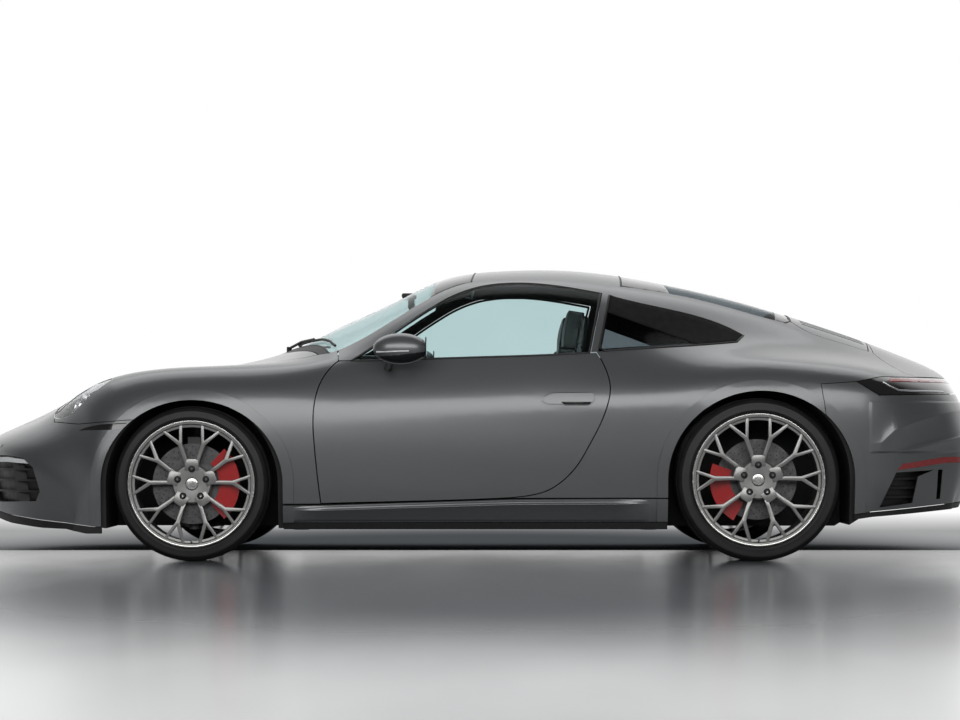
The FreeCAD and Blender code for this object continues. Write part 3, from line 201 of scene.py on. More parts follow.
smoked = finish("smoked_lens", (0.008, 0.007, 0.008), 0.0, 0.08, Coat_Weight=1.0, Coat_Roughness=0.02)
mottle(smoked, tone(0.05), tone(0.12), 25, target="Roughness")
red_lens = finish("red_lens", (0.24, 0.010, 0.012), 0.0, 0.16, Coat_Weight=1.0)
grain(red_lens, 260, 0.3, 0.0004, detail=0.0, stretch=(1, 1, 4))
mottle(red_lens, (0.21, 0.009, 0.010), (0.27, 0.012, 0.014), 60)
white_lamp = finish("white_lamp", (0.80, 0.82, 0.84), 0.0, 0.2, Coat_Weight=0.8)
mottle(white_lamp, (0.76, 0.78, 0.80), (0.84, 0.86, 0.88), 120)
shell_black = finish("seat_shell_black", (0.01, 0.01, 0.011), 0.0, 0.3)
mottle(shell_black, tone(0.25), tone(0.38), 20, target="Roughness")

FINISH_OF = {
    "tyre": rubber, "rim": rim_grey, "brake_disc": disc_steel, "caliper": caliper_red, "windscreen": window,
    "rear_window": dark_window, "door_glass": window, "quarter_glass": dark_window, "tail_light": smoked,
    "tail_reflectors": red_lens, "skirts": black_paint_and_shade, "front_lip": trim, "rear_diffuser": trim,
    "cowl": trim,
    "front_seats": leather, "rear_seats": leather, "dashboard": leather, "steering_wheel": leather,
    "front_suspension": arm_metal, "rear_suspension": arm_metal, "knuckle": arm_metal, "exhaust": pipe,
    "engine": engine_metal, "intake_grilles": mesh_black, "day_lamps": white_lamp, "side_markers": smoked,
    "headlamps": black_paint_and_shade, "headlamp_lenses": lens, "floor_pan": under, "front_structure": under,
    "bulkhead": under, "rear_structure": under,
}
for name, piece in cad.items():
    look = paint
    for start in sorted(FINISH_OF, key=len):
        if name.startswith(start) and not name.startswith("engine_lid"):
            look = FINISH_OF[start]
    piece.data.materials.clear()
    piece.data.materials.append(look)


# Modelling by hand
def deselect():
    if bpy.context.object and bpy.context.object.mode != "OBJECT":
        bpy.ops.object.mode_set(mode="OBJECT")
    bpy.ops.object.select_all(action="DESELECT")


def pick(piece):
    deselect()
    piece.select_set(True)
    bpy.context.view_layer.objects.active = piece


def edit(piece):
    pick(piece)
    bpy.ops.object.mode_set(mode="EDIT")


def edit_all(piece):
    edit(piece)
    bpy.ops.mesh.select_all(action="SELECT")


def done():
    bpy.ops.object.mode_set(mode="OBJECT")


def turn_over(piece):
    """Points all the faces the other way."""
    edit_all(piece)
    bpy.ops.mesh.flip_normals()
    done()


def add(kind, **values):
    deselect()
    getattr(bpy.ops.mesh, f"primitive_{kind}_add")(**values)
    return bpy.context.object


def settle(piece):
    """Puts the piece's place, turn and size into its mesh."""
    pick(piece)
    bpy.ops.object.transform_apply(location=True, rotation=True, scale=True)
    return piece


def modify(piece, kind, **values):
    pick(piece)
    step = piece.modifiers.new(kind.lower(), kind)
    for key, value in values.items():
        setattr(step, key, value)
    bpy.ops.object.modifier_apply(modifier=step.name)
    return piece


def rounded(piece, width, segments=2, angle=0.6):
    return modify(piece, "BEVEL", width=width, segments=segments, limit_method="ANGLE", angle_limit=angle)


def smooth(piece, angle=0.6):
    pick(piece)
    bpy.ops.object.shade_smooth_by_angle(angle=angle)
    return piece


def bar(x0, x1, y0, y1, z0, z1, edge=0.002):
    """A block with rounded edges."""
    made = add("cube", size=1, location=((x0 + x1) / 2, (y0 + y1) / 2, (z0 + z1) / 2))
    made.scale = (abs(x1 - x0), abs(y1 - y0), abs(z1 - z0))
    settle(made)
    return smooth(rounded(made, edge, 2)) if edge else made


def rod(start, end, radius, sides=24, edge=0.0):
    start, end = Vector(start), Vector(end)
    made = add("cylinder", vertices=sides, radius=radius, depth=(end - start).length,
               location=(start + end) / 2)
    made.rotation_mode = "QUATERNION"
    made.rotation_quaternion = (end - start).to_track_quat("Z", "Y")
    settle(made)
    if edge:
        rounded(made, edge, 2)
    return smooth(made)


def copy_of(piece):
    made = piece.copy()
    made.data = piece.data.copy()
    scene.collection.objects.link(made)
    return made


def join(pieces):
    deselect()
    for each in pieces:
        each.select_set(True)
    bpy.context.view_layer.objects.active = pieces[0]
    if len(pieces) > 1:
        bpy.ops.object.join()
    return bpy.context.object


def mirrored(piece):
    """The same piece on the car's other side, with its faces turned out again."""
    made = copy_of(piece)
    made.scale = (1, -1, 1)
    turn_over(settle(made))
    return made


def fit(piece, name, look, body):
    """Names a finished piece, gives it its material and lets it move with its body."""
    piece.name = name
    piece.data.materials.clear()
    piece.data.materials.append(look)
    settle(piece)
    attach(piece, body)
    return piece


def lathe(points, centre, steps, across=1):
    """Spins a line of (distance along the axle, radius) about an axle along Y."""
    centre = Vector(centre)
    made = add("plane", size=0.001, location=(0, 0, 0))
    edit_all(made)
    bpy.ops.mesh.merge(type="CENTER")
    along, radius = points[0]
    bpy.ops.transform.translate(value=(centre.x, centre.y + across * along, centre.z + radius))
    for here, there in zip(points, points[1:]):
        move = (0, across * (there[0] - here[0]), there[1] - here[1])
        bpy.ops.mesh.extrude_vertices_move(TRANSFORM_OT_translate={"value": move})
    bpy.ops.mesh.select_all(action="SELECT")
    bpy.ops.mesh.spin(steps=steps, angle=2 * math.pi, center=centre, axis=(0, 1, 0))
    bpy.ops.mesh.select_all(action="SELECT")
    bpy.ops.mesh.remove_doubles(threshold=0.00002)
    bpy.ops.mesh.normals_make_consistent(inside=False)
    done()
    return made


def line_tube(points, radius, closed=False, sides=2):
    """A thin round line through points."""
    curve = bpy.data.curves.new("line", "CURVE")
    curve.dimensions = "3D"
    spline = curve.splines.new("POLY")
    spline.points.add(len(points) - 1)
    for spot, point in zip(spline.points, points):
        spot.co = (*point, 1)
    spline.use_cyclic_u = closed
    curve.bevel_depth = radius
    curve.bevel_resolution = sides
    curve.use_fill_caps = True
    made = bpy.data.objects.new("line", curve)
    scene.collection.objects.link(made)
    pick(made)
    bpy.ops.object.convert(target="MESH")
    return smooth(bpy.context.object, 1.2)


def skin_of(name, wanted, lift=0.001, thick=0.0, cuts=()):
    """A copy of a panel's faces that are wanted, cut by planes, lifted off it and given a thickness."""
    made = copy_of(cad[name])
    made.parent = None
    made.modifiers.clear()
    edit_all(made)
    bpy.ops.mesh.remove_doubles(threshold=0.00001)
    bpy.ops.mesh.select_all(action="DESELECT")
    done()
    for face in made.data.polygons:
        face.select = not wanted(face.center, face.normal)
    edit(made)
    bpy.ops.mesh.delete(type="FACE")
    for point, normal in cuts:
        bpy.ops.mesh.select_all(action="SELECT")
        bpy.ops.mesh.bisect(plane_co=point, plane_no=normal, clear_outer=True)
    bpy.ops.mesh.select_all(action="SELECT")
    bpy.ops.mesh.customdata_custom_splitnormals_clear()
    if lift:
        bpy.ops.transform.shrink_fatten(value=lift)
    done()
    if thick:
        modify(made, "SOLIDIFY", thickness=thick, offset=-1.0)
    return made


def surface(*names):
    """Finds points on the car's own panels."""
    corners, faces = [], []
    for name in names:
        start = len(corners)
        corners += [v.co.copy() for v in cad[name].data.vertices]
        faces += [[start + k for k in f.vertices] for f in cad[name].data.polygons]
    return BVHTree.FromPolygons(corners, faces)


def on_side(tree, x, z, lift, side=-1):
    """The point of the car's side at x and z, lifted off it."""
    spot, normal = tree.ray_cast(Vector((x, side * 3, z)), Vector((0, -side, 0)))[:2]
    return None if spot is None else spot + normal * lift


def on_top(tree, x, y, lift):
    spot, normal = tree.ray_cast(Vector((x, y, 3)), Vector((0, 0, -1)))[:2]
    return None if spot is None else spot + normal * lift


# Wheels
def tyre_line(half, rim, radius):
    """The tyre's outline from its inner bead over the tread to the other bead."""
    crown = [(half - 50, radius), (30, radius + 0.3), (29, radius - 6), (22, radius - 6), (21, radius + 0.3)]
    wall = [(half - 13.5, rim - 11.5), (half - 13.5, rim + 1), (half - 8, rim + 3), (half - 4, rim + 8),
            (half - 1.5, rim + 14), (half - 2.2, rim + 16), (half - 0.8, (rim + radius) / 2 + 2),
            (half - 2.5, radius - 21), (half - 1.6, radius - 20), (half - 8, radius - 13),
            (half - 12, radius - 8), (half - 22, radius - 3), (half - 36, radius - 1),
            (half - 42, radius - 0.8), (half - 42.5, radius - 6), (half - 49, radius - 6)]
    right = wall + crown
    return [(a / 1000, b / 1000) for a, b in right + [(-a, b) for a, b in reversed(right)]]


def make_tyre(end, side):
    place, across = WHEELS[end], SIDES[side]
    line = tyre_line(place["half"] * 1000, place["rim"] * 1000, place["tyre"] * 1000)
    centre = Vector((place["x"], across * place["y"], place["z"]))
    tyre = lathe(line + line[:1], centre, 180)
    shoulder = place["tyre"] - 0.0045
    for face in tyre.data.polygons:
        spoke = face.center - centre
        turn = math.degrees(math.atan2(spoke.z, spoke.x)) % 360
        radius = math.hypot(spoke.x, spoke.z)
        face.select = radius > shoulder and int(turn / 2) % 3 == 0 and abs(spoke.y) > place["half"] - 0.04
    edit(tyre)
    bpy.ops.mesh.extrude_region_shrink_fatten(TRANSFORM_OT_shrink_fatten={"value": -0.004})
    done()
    smooth(tyre, 0.5)
    node_name = f"tyre_{end}_{side}"
    fit(tyre, f"treaded_tyre_{end}_{side}", rubber, f"wheel_{end}_{side}")
    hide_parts(node_name)


def polar_spot(centre, radius, degrees, y):
    turn = math.radians(degrees)
    return Vector((centre.x + radius * math.cos(turn), y, centre.z + radius * math.sin(turn)))


def make_wheel_details(end, side):
    place, across = WHEELS[end], SIDES[side]
    body, half, rim = f"wheel_{end}_{side}", place["half"], place["rim"]
    centre = Vector((place["x"], across * place["y"], place["z"]))
    face = centre.y + across * (half - 0.030)
    bolts = []
    for k in range(5):
        spot = polar_spot(centre, LUG_RADIUS, 90 + 72 * k, face)
        bolt = add("cylinder", vertices=6, radius=0.0105, depth=0.022, location=spot,
                   rotation=(math.pi / 2, 0, 0))
        rounded(settle(bolt), 0.0015, 2)
        edit(bolt)
        bpy.ops.mesh.select_all(action="DESELECT")
        done()
        for f in bolt.data.polygons:
            f.select = f.normal.y * across > 0.95
        edit(bolt)
        bpy.ops.mesh.inset(thickness=0.003)
        bpy.ops.mesh.extrude_region_move(TRANSFORM_OT_translate={"value": (0, -across * 0.008, 0)})
        done()
        collar = lathe([(0.0, 0.0155), (0.006, 0.0155), (0.009, 0.0125), (0.009, 0.008)],
                       (spot.x, face - across * 0.002, spot.z), 24, across)
        bolts += [bolt, collar]
    fit(smooth(join(bolts), 0.7), f"wheel_bolts_{end}_{side}", bolt_black, body)
    cap_line = [(0.0, 0.0005), (0.0, 0.012), (-0.0008, 0.022), (-0.002, 0.0262), (-0.0045, 0.0285),
                (-0.009, 0.029)]
    cap = lathe(cap_line, (centre.x, face + across * 0.004, centre.z), 48, across)
    fit(smooth(cap), f"centre_cap_{end}_{side}", rim_polish, body)
    rounding = [(0.0, rim - 0.0090), (0.0026, rim - 0.0075), (0.0034, rim - 0.005), (0.003, rim - 0.0018),
                (0.0, rim + 0.0004)]
    edge = lathe(rounding, (centre.x, centre.y + across * (half - 0.0062), centre.z), 120, across)
    fit(smooth(edge), f"rim_edge_{end}_{side}", rim_polish, body)
    # Black discs on the brake disc's face: painted shade for the drilled holes
    holes = []
    disc_face = centre.y + across * 0.0461
    for row in range(4):
        for k in range(24):
            spot = polar_spot(centre, 0.122 + 0.0135 * row, 15 * k + 5 * row, disc_face)
            holes.append(add("circle", vertices=10, radius=0.0028, fill_type="NGON", location=spot,
                             rotation=(across * math.pi / 2, 0, 0)))
    fit(settle(join(holes)), f"disc_holes_{end}_{side}", hole_painted_shade, body)
    # A dark sheet inside the rim's barrel: painted shade seen through the spokes
    well = lathe([(half - 0.045, rim - 0.0225), (-0.02, rim - 0.0235)], centre, 96, across)
    turn_over(well)
    fit(smooth(well), f"rim_well_{end}_{side}", rim_painted_shade, body)
    valve = rod(polar_spot(centre, rim - 0.021, -90, centre.y + across * (half - 0.028)),
                polar_spot(centre, rim - 0.026, -90, centre.y + across * (half - 0.004)), 0.004, 12, 0.001)
    fit(valve, f"tyre_valve_{end}_{side}", bolt_black, body)


def flat_plate(turns, depth):
    """A plate in the wheel's plane from (radius in mm, degrees) corners, thick by a depth towards the car."""
    deselect()
    made = add("circle", vertices=len(turns), radius=1, fill_type="NGON")
    for v, (radius, degrees) in zip(made.data.vertices, turns):
        turn = math.radians(degrees)
        v.co = (radius / 1000 * math.cos(turn), 0, radius / 1000 * math.sin(turn))
    edit_all(made)
    bpy.ops.mesh.extrude_region_move(TRANSFORM_OT_translate={"value": (0, depth, 0)})
    bpy.ops.mesh.select_all(action="SELECT")
    bpy.ops.mesh.normals_make_consistent(inside=False)
    done()
    return made


def forked_spoke(rim, turn):
    """One leg of a forked spoke with its Y at the rim, narrower than the solid it stands for."""
    root, waist, split, reach = 92, 0.42 * rim, 0.645 * rim, rim - 14
    corners = [(root, 10.5), (waist, 10.8), (split, 13.4), (reach, 8.9), (reach, 11.9), (split + 15, 16.3),
               (reach, 26.9), (reach, 29.9), (split, 19.4), (waist, 18.8), (root, 20)]
    leg = flat_plate([(radius, 90 + turn * angle) for radius, angle in corners], 0.030)
    return rounded(leg, 0.0018, 2, 0.5)


def lug_pad():
    """The flat-topped pad that a bolt sits in, and that two legs start from."""
    pad_line = [(66, 62), (107, 74), (109, 82), (109, 98), (107, 106), (66, 118)]
    return rounded(flat_plate(pad_line, 0.032), 0.002, 2, 0.5)


def make_rim(end, side):
    place, across = WHEELS[end], SIDES[side]
    half, rim = place["half"], place["rim"] * 1000
    centre = Vector((place["x"], across * place["y"], place["z"]))
    front = -half + 0.020
    pieces = []
    for k in range(5):
        for piece in (forked_spoke(rim, -1), forked_spoke(rim, 1), lug_pad()):
            piece.rotation_euler = (0, -math.radians(72 * k), 0)
            pieces.append(settle(piece))
    for piece in pieces:
        for v in piece.data.vertices:
            radius = math.hypot(v.co.x, v.co.z)
            v.co.y += front + 0.010 * max(0.0, (0.16 - radius) / 0.16)
            v.co.y -= 0.006 * max(0.0, (radius - 0.20) / 0.06)
    hub_line = [(0.013, 0.018), (0.010, 0.052), (0.010, 0.080), (0.016, 0.086), (0.05, 0.086)]
    hub = lathe([(front + along, radius) for along, radius in hub_line], (0, 0, 0), 80)
    flange = rim / 1000
    outer_edge = [(0.0065, 0), (0.0045, 0.004), (0.0055, 0.015), (0.0075, 0.017), (0.0150, 0.018),
                  (0.0165, 0.020), (0.0175, 0.029), (0.020, 0.031), (0.046, 0.028)]
    inner_edge = [(0.02, 0.0205), (0.004, 0.010), (0.004, 0)]
    barrel = lathe([(-half + along, flange - depth) for along, depth in outer_edge] +
                   [(half - along, flange - depth) for along, depth in inner_edge], (0, 0, 0), 160)
    wheel = join(pieces + [smooth(hub, 0.5), smooth(barrel, 0.5)])
    if across > 0:
        wheel.rotation_euler = (0, 0, math.pi)
    wheel.location = centre
    fit(smooth(settle(wheel), 0.6), f"forked_rim_{end}_{side}", rim_grey, f"wheel_{end}_{side}")
    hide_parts(f"rim_{end}_{side}")


for end in WHEELS:
    for side in SIDES:
        make_tyre(end, side)
        make_rim(end, side)
        make_wheel_details(end, side)


# Seals and edges
def edge_line(name, wanted):
    """The outline of a panel's outer face, as a row of points."""
    made = skin_of(name, wanted, 0.0)
    edit_all(made)
    bpy.ops.mesh.region_to_loop()
    done()
    links = {}
    for e in made.data.edges:
        if e.select:
            for a, b in (e.vertices, reversed(e.vertices)):
                links.setdefault(a, []).append(b)
    loops = []
    left = set(links)
    while left:
        first = here = min(left)
        row = [here]
        left.discard(here)
        while True:
            onward = [k for k in links[here] if k in left]
            if not onward:
                break
            here = onward[0]
            left.discard(here)
            row.append(here)
        loops.append([made.data.vertices[k].co.copy() for k in row])
    bpy.data.objects.remove(made)
    return loops


def outwards(center, normal):
    reach = Vector((0, center.y, center.z - 0.5))
    return normal.dot(reach.normalized()) > 0.45


def left_face(center, normal):
    return outwards(center, normal) and center.y < 0


def right_face(center, normal):
    return outwards(center, normal) and center.y > 0


def seal(name, node_name, wanted, radius, look, body):
    tubes = [line_tube(loop, radius, True) for loop in edge_line(node_name, wanted) if len(loop) > 8]
    fit(join(tubes), name, look, body)


seal("windscreen_seal", "windscreen", outwards, 0.0045, seal_rubber, "body")
seal("rear_window_seal", "rear_window", outwards, 0.0045, seal_rubber, "body")
for side, face in (("left", left_face), ("right", right_face)):
    seal(f"door_glass_seal_{side}", f"door_glass_{side}", face, 0.0055, seal_rubber, f"door_{side}")
    seal(f"quarter_glass_seal_{side}", "quarter_glass", face, 0.0055, seal_rubber, "body")
    seal(f"headlamp_edge_{side}", "headlamp_lenses", face, 0.0028, silver, "body")


# Black bands along the edges of the glass
def over_glass(name, node_name, wanted, cuts, look=black_paint_and_shade, lift=0.0007):
    fit(skin_of(node_name, wanted, lift, 0.0005, cuts), name, look, "body")


over_glass("windscreen_top_band", "windscreen", outwards, [((-0.185, 0, 1.2), (-1, 0, 0.35))])
over_glass("rear_window_top_band", "rear_window", outwards, [((0.86, 0, 1.2), (1, 0, 0.3))])
over_glass("rear_window_low_band", "rear_window", outwards, [((1.33, 0, 1.0), (-1, 0, 0.3))])
for side, face in (("left", left_face), ("right", right_face)):
    over_glass(f"quarter_glass_band_{side}", "quarter_glass", face, [((0.725, 0, 1.034), (-0.34, 0, -0.94))],
               lining, 0.0014)


# Lamps
def lamp_pair(name, make, look):
    left = make()
    right = mirrored(left)
    fit(left, f"{name}_left", look, "body")
    fit(right, f"{name}_right", look, "body")


LAMP = Vector((-1.735, -0.66, 0.665))
LAMP_AIM = Vector((-0.80, -0.25, 0.42)).normalized()


def facing(piece, aim, spot):
    piece.rotation_mode = "QUATERNION"
    piece.rotation_quaternion = aim.to_track_quat("Z", "Y")
    piece.location = spot
    return settle(piece)


def lamp_bowl():
    bowl = add("cylinder", vertices=64, radius=0.058, depth=0.05)
    edit(bowl)
    bpy.ops.mesh.select_all(action="DESELECT")
    done()
    for f in bowl.data.polygons:
        f.select = f.normal.z > 0.9
    edit(bowl)
    bpy.ops.mesh.inset(thickness=0.006)
    bpy.ops.mesh.extrude_region_move(TRANSFORM_OT_translate={"value": (0, 0, -0.012)})
    bpy.ops.mesh.inset(thickness=0.014)
    bpy.ops.mesh.extrude_region_move(TRANSFORM_OT_translate={"value": (0, 0, -0.014)})
    done()
    rounded(bowl, 0.0012, 2)
    return smooth(facing(bowl, LAMP_AIM, LAMP))


def lamp_eye():
    eye = add("uv_sphere", segments=48, ring_count=24, radius=0.034)
    eye.scale = (1, 1, 0.45)
    settle(eye)
    return smooth(facing(eye, LAMP_AIM, LAMP + LAMP_AIM * 0.010), 1.5)


def lamp_lights():
    side_way = LAMP_AIM.cross(Vector((0, 0, 1))).normalized()
    up_way = side_way.cross(LAMP_AIM).normalized()
    lights = []
    for a, b in ((-1, -1), (1, -1), (-1, 1), (1, 1)):
        light = add("cylinder", vertices=32, radius=0.011, depth=0.01)
        rounded(light, 0.003, 3)
        spot = LAMP + side_way * 0.052 * a + up_way * 0.052 * b + LAMP_AIM * 0.004
        lights.append(facing(light, LAMP_AIM, spot))
    return smooth(join(lights))


lamp_pair("lamp_bowl", lamp_bowl, silver)
lamp_pair("lamp_eye", lamp_eye, lens)
lamp_pair("lamp_lights", lamp_lights, white_lamp)

# Red strip across the tail
fit(skin_of("tail_light", outwards, 0.0012, 0.001,
            [((0, 0, 0.794), (0, 0, 1)), ((0, 0, 0.778), (0, 0, -1)), ((1.80, 0, 0), (-1, 0, 0))]),
    "tail_strip", red_lens, "body")


# Mirrors
for side, across in SIDES.items():
    body, name = f"door_{side}", f"mirror_{side}"

    def lower_cap(center, normal, across=across):
        return center.z < 0.893 + 0.10 * (center.x + 0.32) and center.z > 0.80

    fit(skin_of(name, lower_cap, 0.0012, 0.001), f"mirror_lower_cap_{side}", black_paint_and_shade, body)
    glass = add("uv_sphere", segments=48, ring_count=24, radius=1, location=(-0.2135, across * 0.958, 0.918))
    glass.scale = (0.004, 0.0345, 0.0425)
    fit(smooth(settle(glass), 1.5), f"mirror_glass_{side}", mirror_glass, body)
    rim_ring = add("torus", major_radius=1, minor_radius=0.075, major_segments=64, minor_segments=12,
                   rotation=(0, math.pi / 2, 0), location=(-0.2135, across * 0.958, 0.918))
    rim_ring.scale = (0.0475, 0.0385, 0.035)
    fit(smooth(settle(rim_ring), 1.5), f"mirror_frame_{side}", trim, body)
    signal_line = [(-0.425 + 0.02 * k, across * (0.985 + 0.026 * math.sin(0.30 * k)), 0.902 + 0.0006 * k)
                   for k in range(8)]
    signal = line_tube(signal_line, 0.0035)
    fit(signal, f"mirror_signal_{side}", white_lamp, body)


# Cabin linings
def inwards(center, normal):
    reach = Vector((0, center.y, center.z - 0.5))
    return normal.dot(reach.normalized()) < -0.3


fit(skin_of("roof", lambda c, n: n.z < -0.4, 0.0012, 0.0008), "roof_lining", lining, "body")
fit(skin_of("floor_pan", lambda c, n: n.z > 0.9 and 0.185 < c.z < 0.2, 0.004, 0.003), "floor_pan_carpet",
    carpet, "body")
for side, across in SIDES.items():
    def to_cabin(center, normal, across=across):
        in_reach = -0.62 < center.x < 1.4 and center.z > 0.30
        return inwards(center, normal) and center.y * across > 0 and in_reach

    fit(skin_of(f"door_{side}", to_cabin, 0.0012, 0.0008), f"door_lining_{side}", leather, f"door_{side}")
    fit(skin_of(f"side_frame_{side}", to_cabin, 0.0010, 0.0006), f"pillar_lining_{side}", lining, "body")
    rest = bar(-0.38, 0.12, across * 0.775, across * 0.735, 0.60, 0.645, 0.014)
    fit(rest, f"arm_rest_{side}", leather, f"door_{side}")
    pull_line = [(-0.12 + 0.04 * k, across * (0.762 - 0.035 * math.sin(math.pi * k / 6)), 0.69)
                 for k in range(7)]
    pull = line_tube(pull_line, 0.009, sides=4)
    fit(pull, f"door_pull_{side}", silver, f"door_{side}")
    for k, spot in enumerate(((-0.43, 0.42), (-0.40, 0.74))):
        at = Vector((spot[0], across * 0.772, spot[1]))
        smaller = 0.03 * k
        cup_line = [(0.0, 0.072 - smaller), (0.006, 0.070 - smaller), (0.008, 0.062 - smaller),
                    (0.004, 0.055 - smaller), (0.006, 0.012), (0.0075, 0.0005)]
        cup = lathe(cup_line, at, 48, -across)
        fit(smooth(cup), f"door_speaker_{k + 1}_{side}", trim, f"door_{side}")


# Seats
def pad(name, size, place, lean, crown, seams, body="body"):
    """A crowned cushion with sewn channels across it."""
    made = add("cube", size=1)
    made.scale = size
    settle(made)
    edit_all(made)
    bpy.ops.mesh.subdivide(number_cuts=11)
    done()
    half = [s / 2 for s in size]
    thin = min(range(3), key=lambda k: size[k])
    others = [k for k in range(3) if k != thin]
    for v in made.data.vertices:
        a, b = (v.co[k] / half[k] for k in others)
        t = v.co[thin] / half[thin]
        swell = (1 - a * a) * (1 - b * b)
        v.co[thin] += crown * swell * t
        for k, other in zip(others, (b, a)):
            v.co[k] *= 1 - 0.035 * (1 - other * other) * (1 - 0.4 * abs(t))
    for face in made.data.polygons:
        face.select = any(abs(face.center[others[0]] / half[others[0]] - s) < 0.04 for s in seams) and \
            abs(face.normal[thin]) > 0.5
    if seams:
        edit(made)
        bpy.ops.mesh.inset(thickness=0.004)
        bpy.ops.mesh.extrude_region_shrink_fatten(TRANSFORM_OT_shrink_fatten={"value": -0.005})
        done()
    modify(made, "SUBSURF", levels=2, render_levels=2)
    made.rotation_euler = lean
    made.location = place
    smooth(settle(made), 1.2)
    fit(made, name, leather, body)
    return made


seat_lean = (0, math.radians(5), 0)
back_lean = (0, math.radians(9), 0)
for side, across in SIDES.items():
    y = across * 0.37
    cushion = pad(f"seat_cushion_{side}", (0.40, 0.35, 0.10), (0.085, y, 0.372), seat_lean, 0.012,
                  (-0.5, 0.0, 0.5))
    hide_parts("front_seats")
    pad(f"seat_back_{side}", (0.085, 0.35, 0.52), (0.372, y, 0.68), back_lean, 0.014, ())
    for k, shift in enumerate((-0.195, 0.195)):
        pad(f"seat_bolster_{k + 1}_{side}", (0.38, 0.062, 0.125), (0.085, y + shift, 0.382), seat_lean,
            0.010, ())
        pad(f"back_bolster_{k + 1}_{side}", (0.125, 0.062, 0.46), (0.352, y + shift, 0.665), back_lean,
            0.010, ())
    pad(f"head_rest_{side}", (0.072, 0.27, 0.17), (0.438, y, 1.015), back_lean, 0.010, ())
    shell = bar(-0.02, 0.02, -0.20, 0.20, -0.36, 0.36, 0.018)
    shell.rotation_euler = back_lean
    shell.location = (0.432, y, 0.72)
    fit(settle(shell), f"seat_shell_{side}", shell_black, "body")
    base = bar(-0.10, 0.30, y - 0.18, y + 0.18, 0.268, 0.325, 0.012)
    fit(base, f"seat_base_{side}", trim, "body")
    rails = join([bar(-0.11, 0.36, y + s - 0.02, y + s + 0.02, 0.1905, 0.27, 0.004) for s in (-0.17, 0.17)])
    fit(rails, f"seat_rails_{side}", arm_metal, "body")
    y = across * 0.305
    rear = pad(f"rear_seat_cushion_{side}", (0.24, 0.40, 0.09), (0.752, y, 0.445), (0, math.radians(3), 0),
               0.010, (0.0,))
    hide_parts("rear_seats")
    pad(f"rear_seat_back_{side}", (0.07, 0.40, 0.36), (0.905, y, 0.655), (0, math.radians(19), 0), 0.010,
        ())
    fit(bar(0.64, 0.90, y - 0.19, y + 0.19, 0.205, 0.40, 0.01), f"rear_seat_box_{side}", carpet, "body")

# Dashboard, console, gear lever and inside mirror
hood = bar(-0.555, -0.415, -0.53, -0.21, 0.868, 0.902, 0.014)
fit(hood, "dial_hood", leather, "body")
face = bar(-0.424, -0.418, -0.52, -0.22, 0.80, 0.868, 0.004)
fit(face, "dial_panel", screen_black, "body")
screen = bar(-0.408, -0.400, -0.14, 0.15, 0.70, 0.795, 0.004)
fit(screen, "centre_screen", screen_black, "body")
trim_line = bar(-0.418, -0.409, -0.62, 0.62, 0.676, 0.684, 0.002)
fit(trim_line, "dash_trim_line", silver, "body")
console = bar(-0.43, 0.42, -0.115, 0.115, 0.1905, 0.40, 0.03)
fit(console, "centre_console", leather, "body")
lever = join([rod((-0.16, 0, 0.39), (-0.165, 0, 0.445), 0.016, 24, 0.006),
              bar(-0.2, -0.06, -0.05, 0.05, 0.398, 0.404, 0.002)])
fit(lever, "gear_lever", silver, "body")
rear_mirror = bar(-0.315, -0.285, -0.11, 0.11, 1.125, 1.185, 0.012)
fit(rear_mirror, "inside_mirror", trim, "body")
inside_glass = bar(-0.2852, -0.2835, -0.10, 0.10, 1.132, 1.178, 0.0006)
fit(inside_glass, "inside_mirror_glass", mirror_glass, "body")
sensor_box = bar(-0.345, -0.28, -0.045, 0.045, 1.182, 1.205, 0.008)
fit(sensor_box, "inside_mirror_foot", trim, "body")

# Wipers
screen_tree = surface("windscreen")


def lower_edge(y):
    x = -1.2
    while on_top(screen_tree, x, y, 0) is None and x < 0:
        x += 0.005
    return x


WIPERS = (("wiper_left", -0.12, -0.66, -0.14), ("wiper_right", 0.42, -0.08, 0.44))
for name, y_foot, y_low, y_high in WIPERS:
    blade_spots = []
    for k in range(15):
        y = y_low + (y_high - y_low) * k / 14
        spot = on_top(screen_tree, lower_edge(y) + 0.035, y, 0.010)
        if spot is not None:
            blade_spots.append(spot)
    blade = line_tube(blade_spots, 0.006, sides=2)
    middle = blade_spots[len(blade_spots) // 2]
    foot = Vector((lower_edge(y_foot) - 0.012, y_foot, 0))
    low = on_top(surface("cowl", "windscreen"), foot.x, foot.y, 0.012)
    parts = [blade]
    if low is not None:
        lift = (low + middle) / 2 + Vector((0, 0, 0.012))
        parts.append(line_tube([low, lift, middle + Vector((0, 0, 0.006))], 0.0065))
        parts.append(rod(low - Vector((0, 0, 0.02)), low + Vector((0, 0, 0.008)), 0.012, 20, 0.003))
    fit(join(parts), name, trim, "body")

# Fuel flap, sensors and painted shade at the door handles
flap_tree = surface("fender_right")
flap_turns = [t / 48 * 2 * math.pi for t in range(48)]
ring = [on_top(flap_tree, -0.985 + 0.085 * math.cos(t), 0.735 + 0.066 * math.sin(t), -0.0003)
        for t in flap_turns]
if all(ring):
    fit(line_tube(ring, 0.0011, True), "fuel_flap_gap", seal_rubber, "body")
for end, way, height in (("front", 1, 0.50), ("rear", -1, 0.60)):
    tree = surface(f"{end}_bumper")
    dots = []
    for y in (-0.62, -0.22, 0.22, 0.62):
        spot, normal = tree.ray_cast(Vector((-way * 3, y, height)), Vector((way, 0, 0)))[:2]
        if spot is not None:
            dot = add("cylinder", vertices=32, radius=0.0095, depth=0.0016)
            rounded(dot, 0.0005, 2)
            dots.append(facing(dot, normal, spot + normal * 0.0002))
    if dots:
        fit(smooth(join(dots)), f"{end}_sensors", paint, "body")
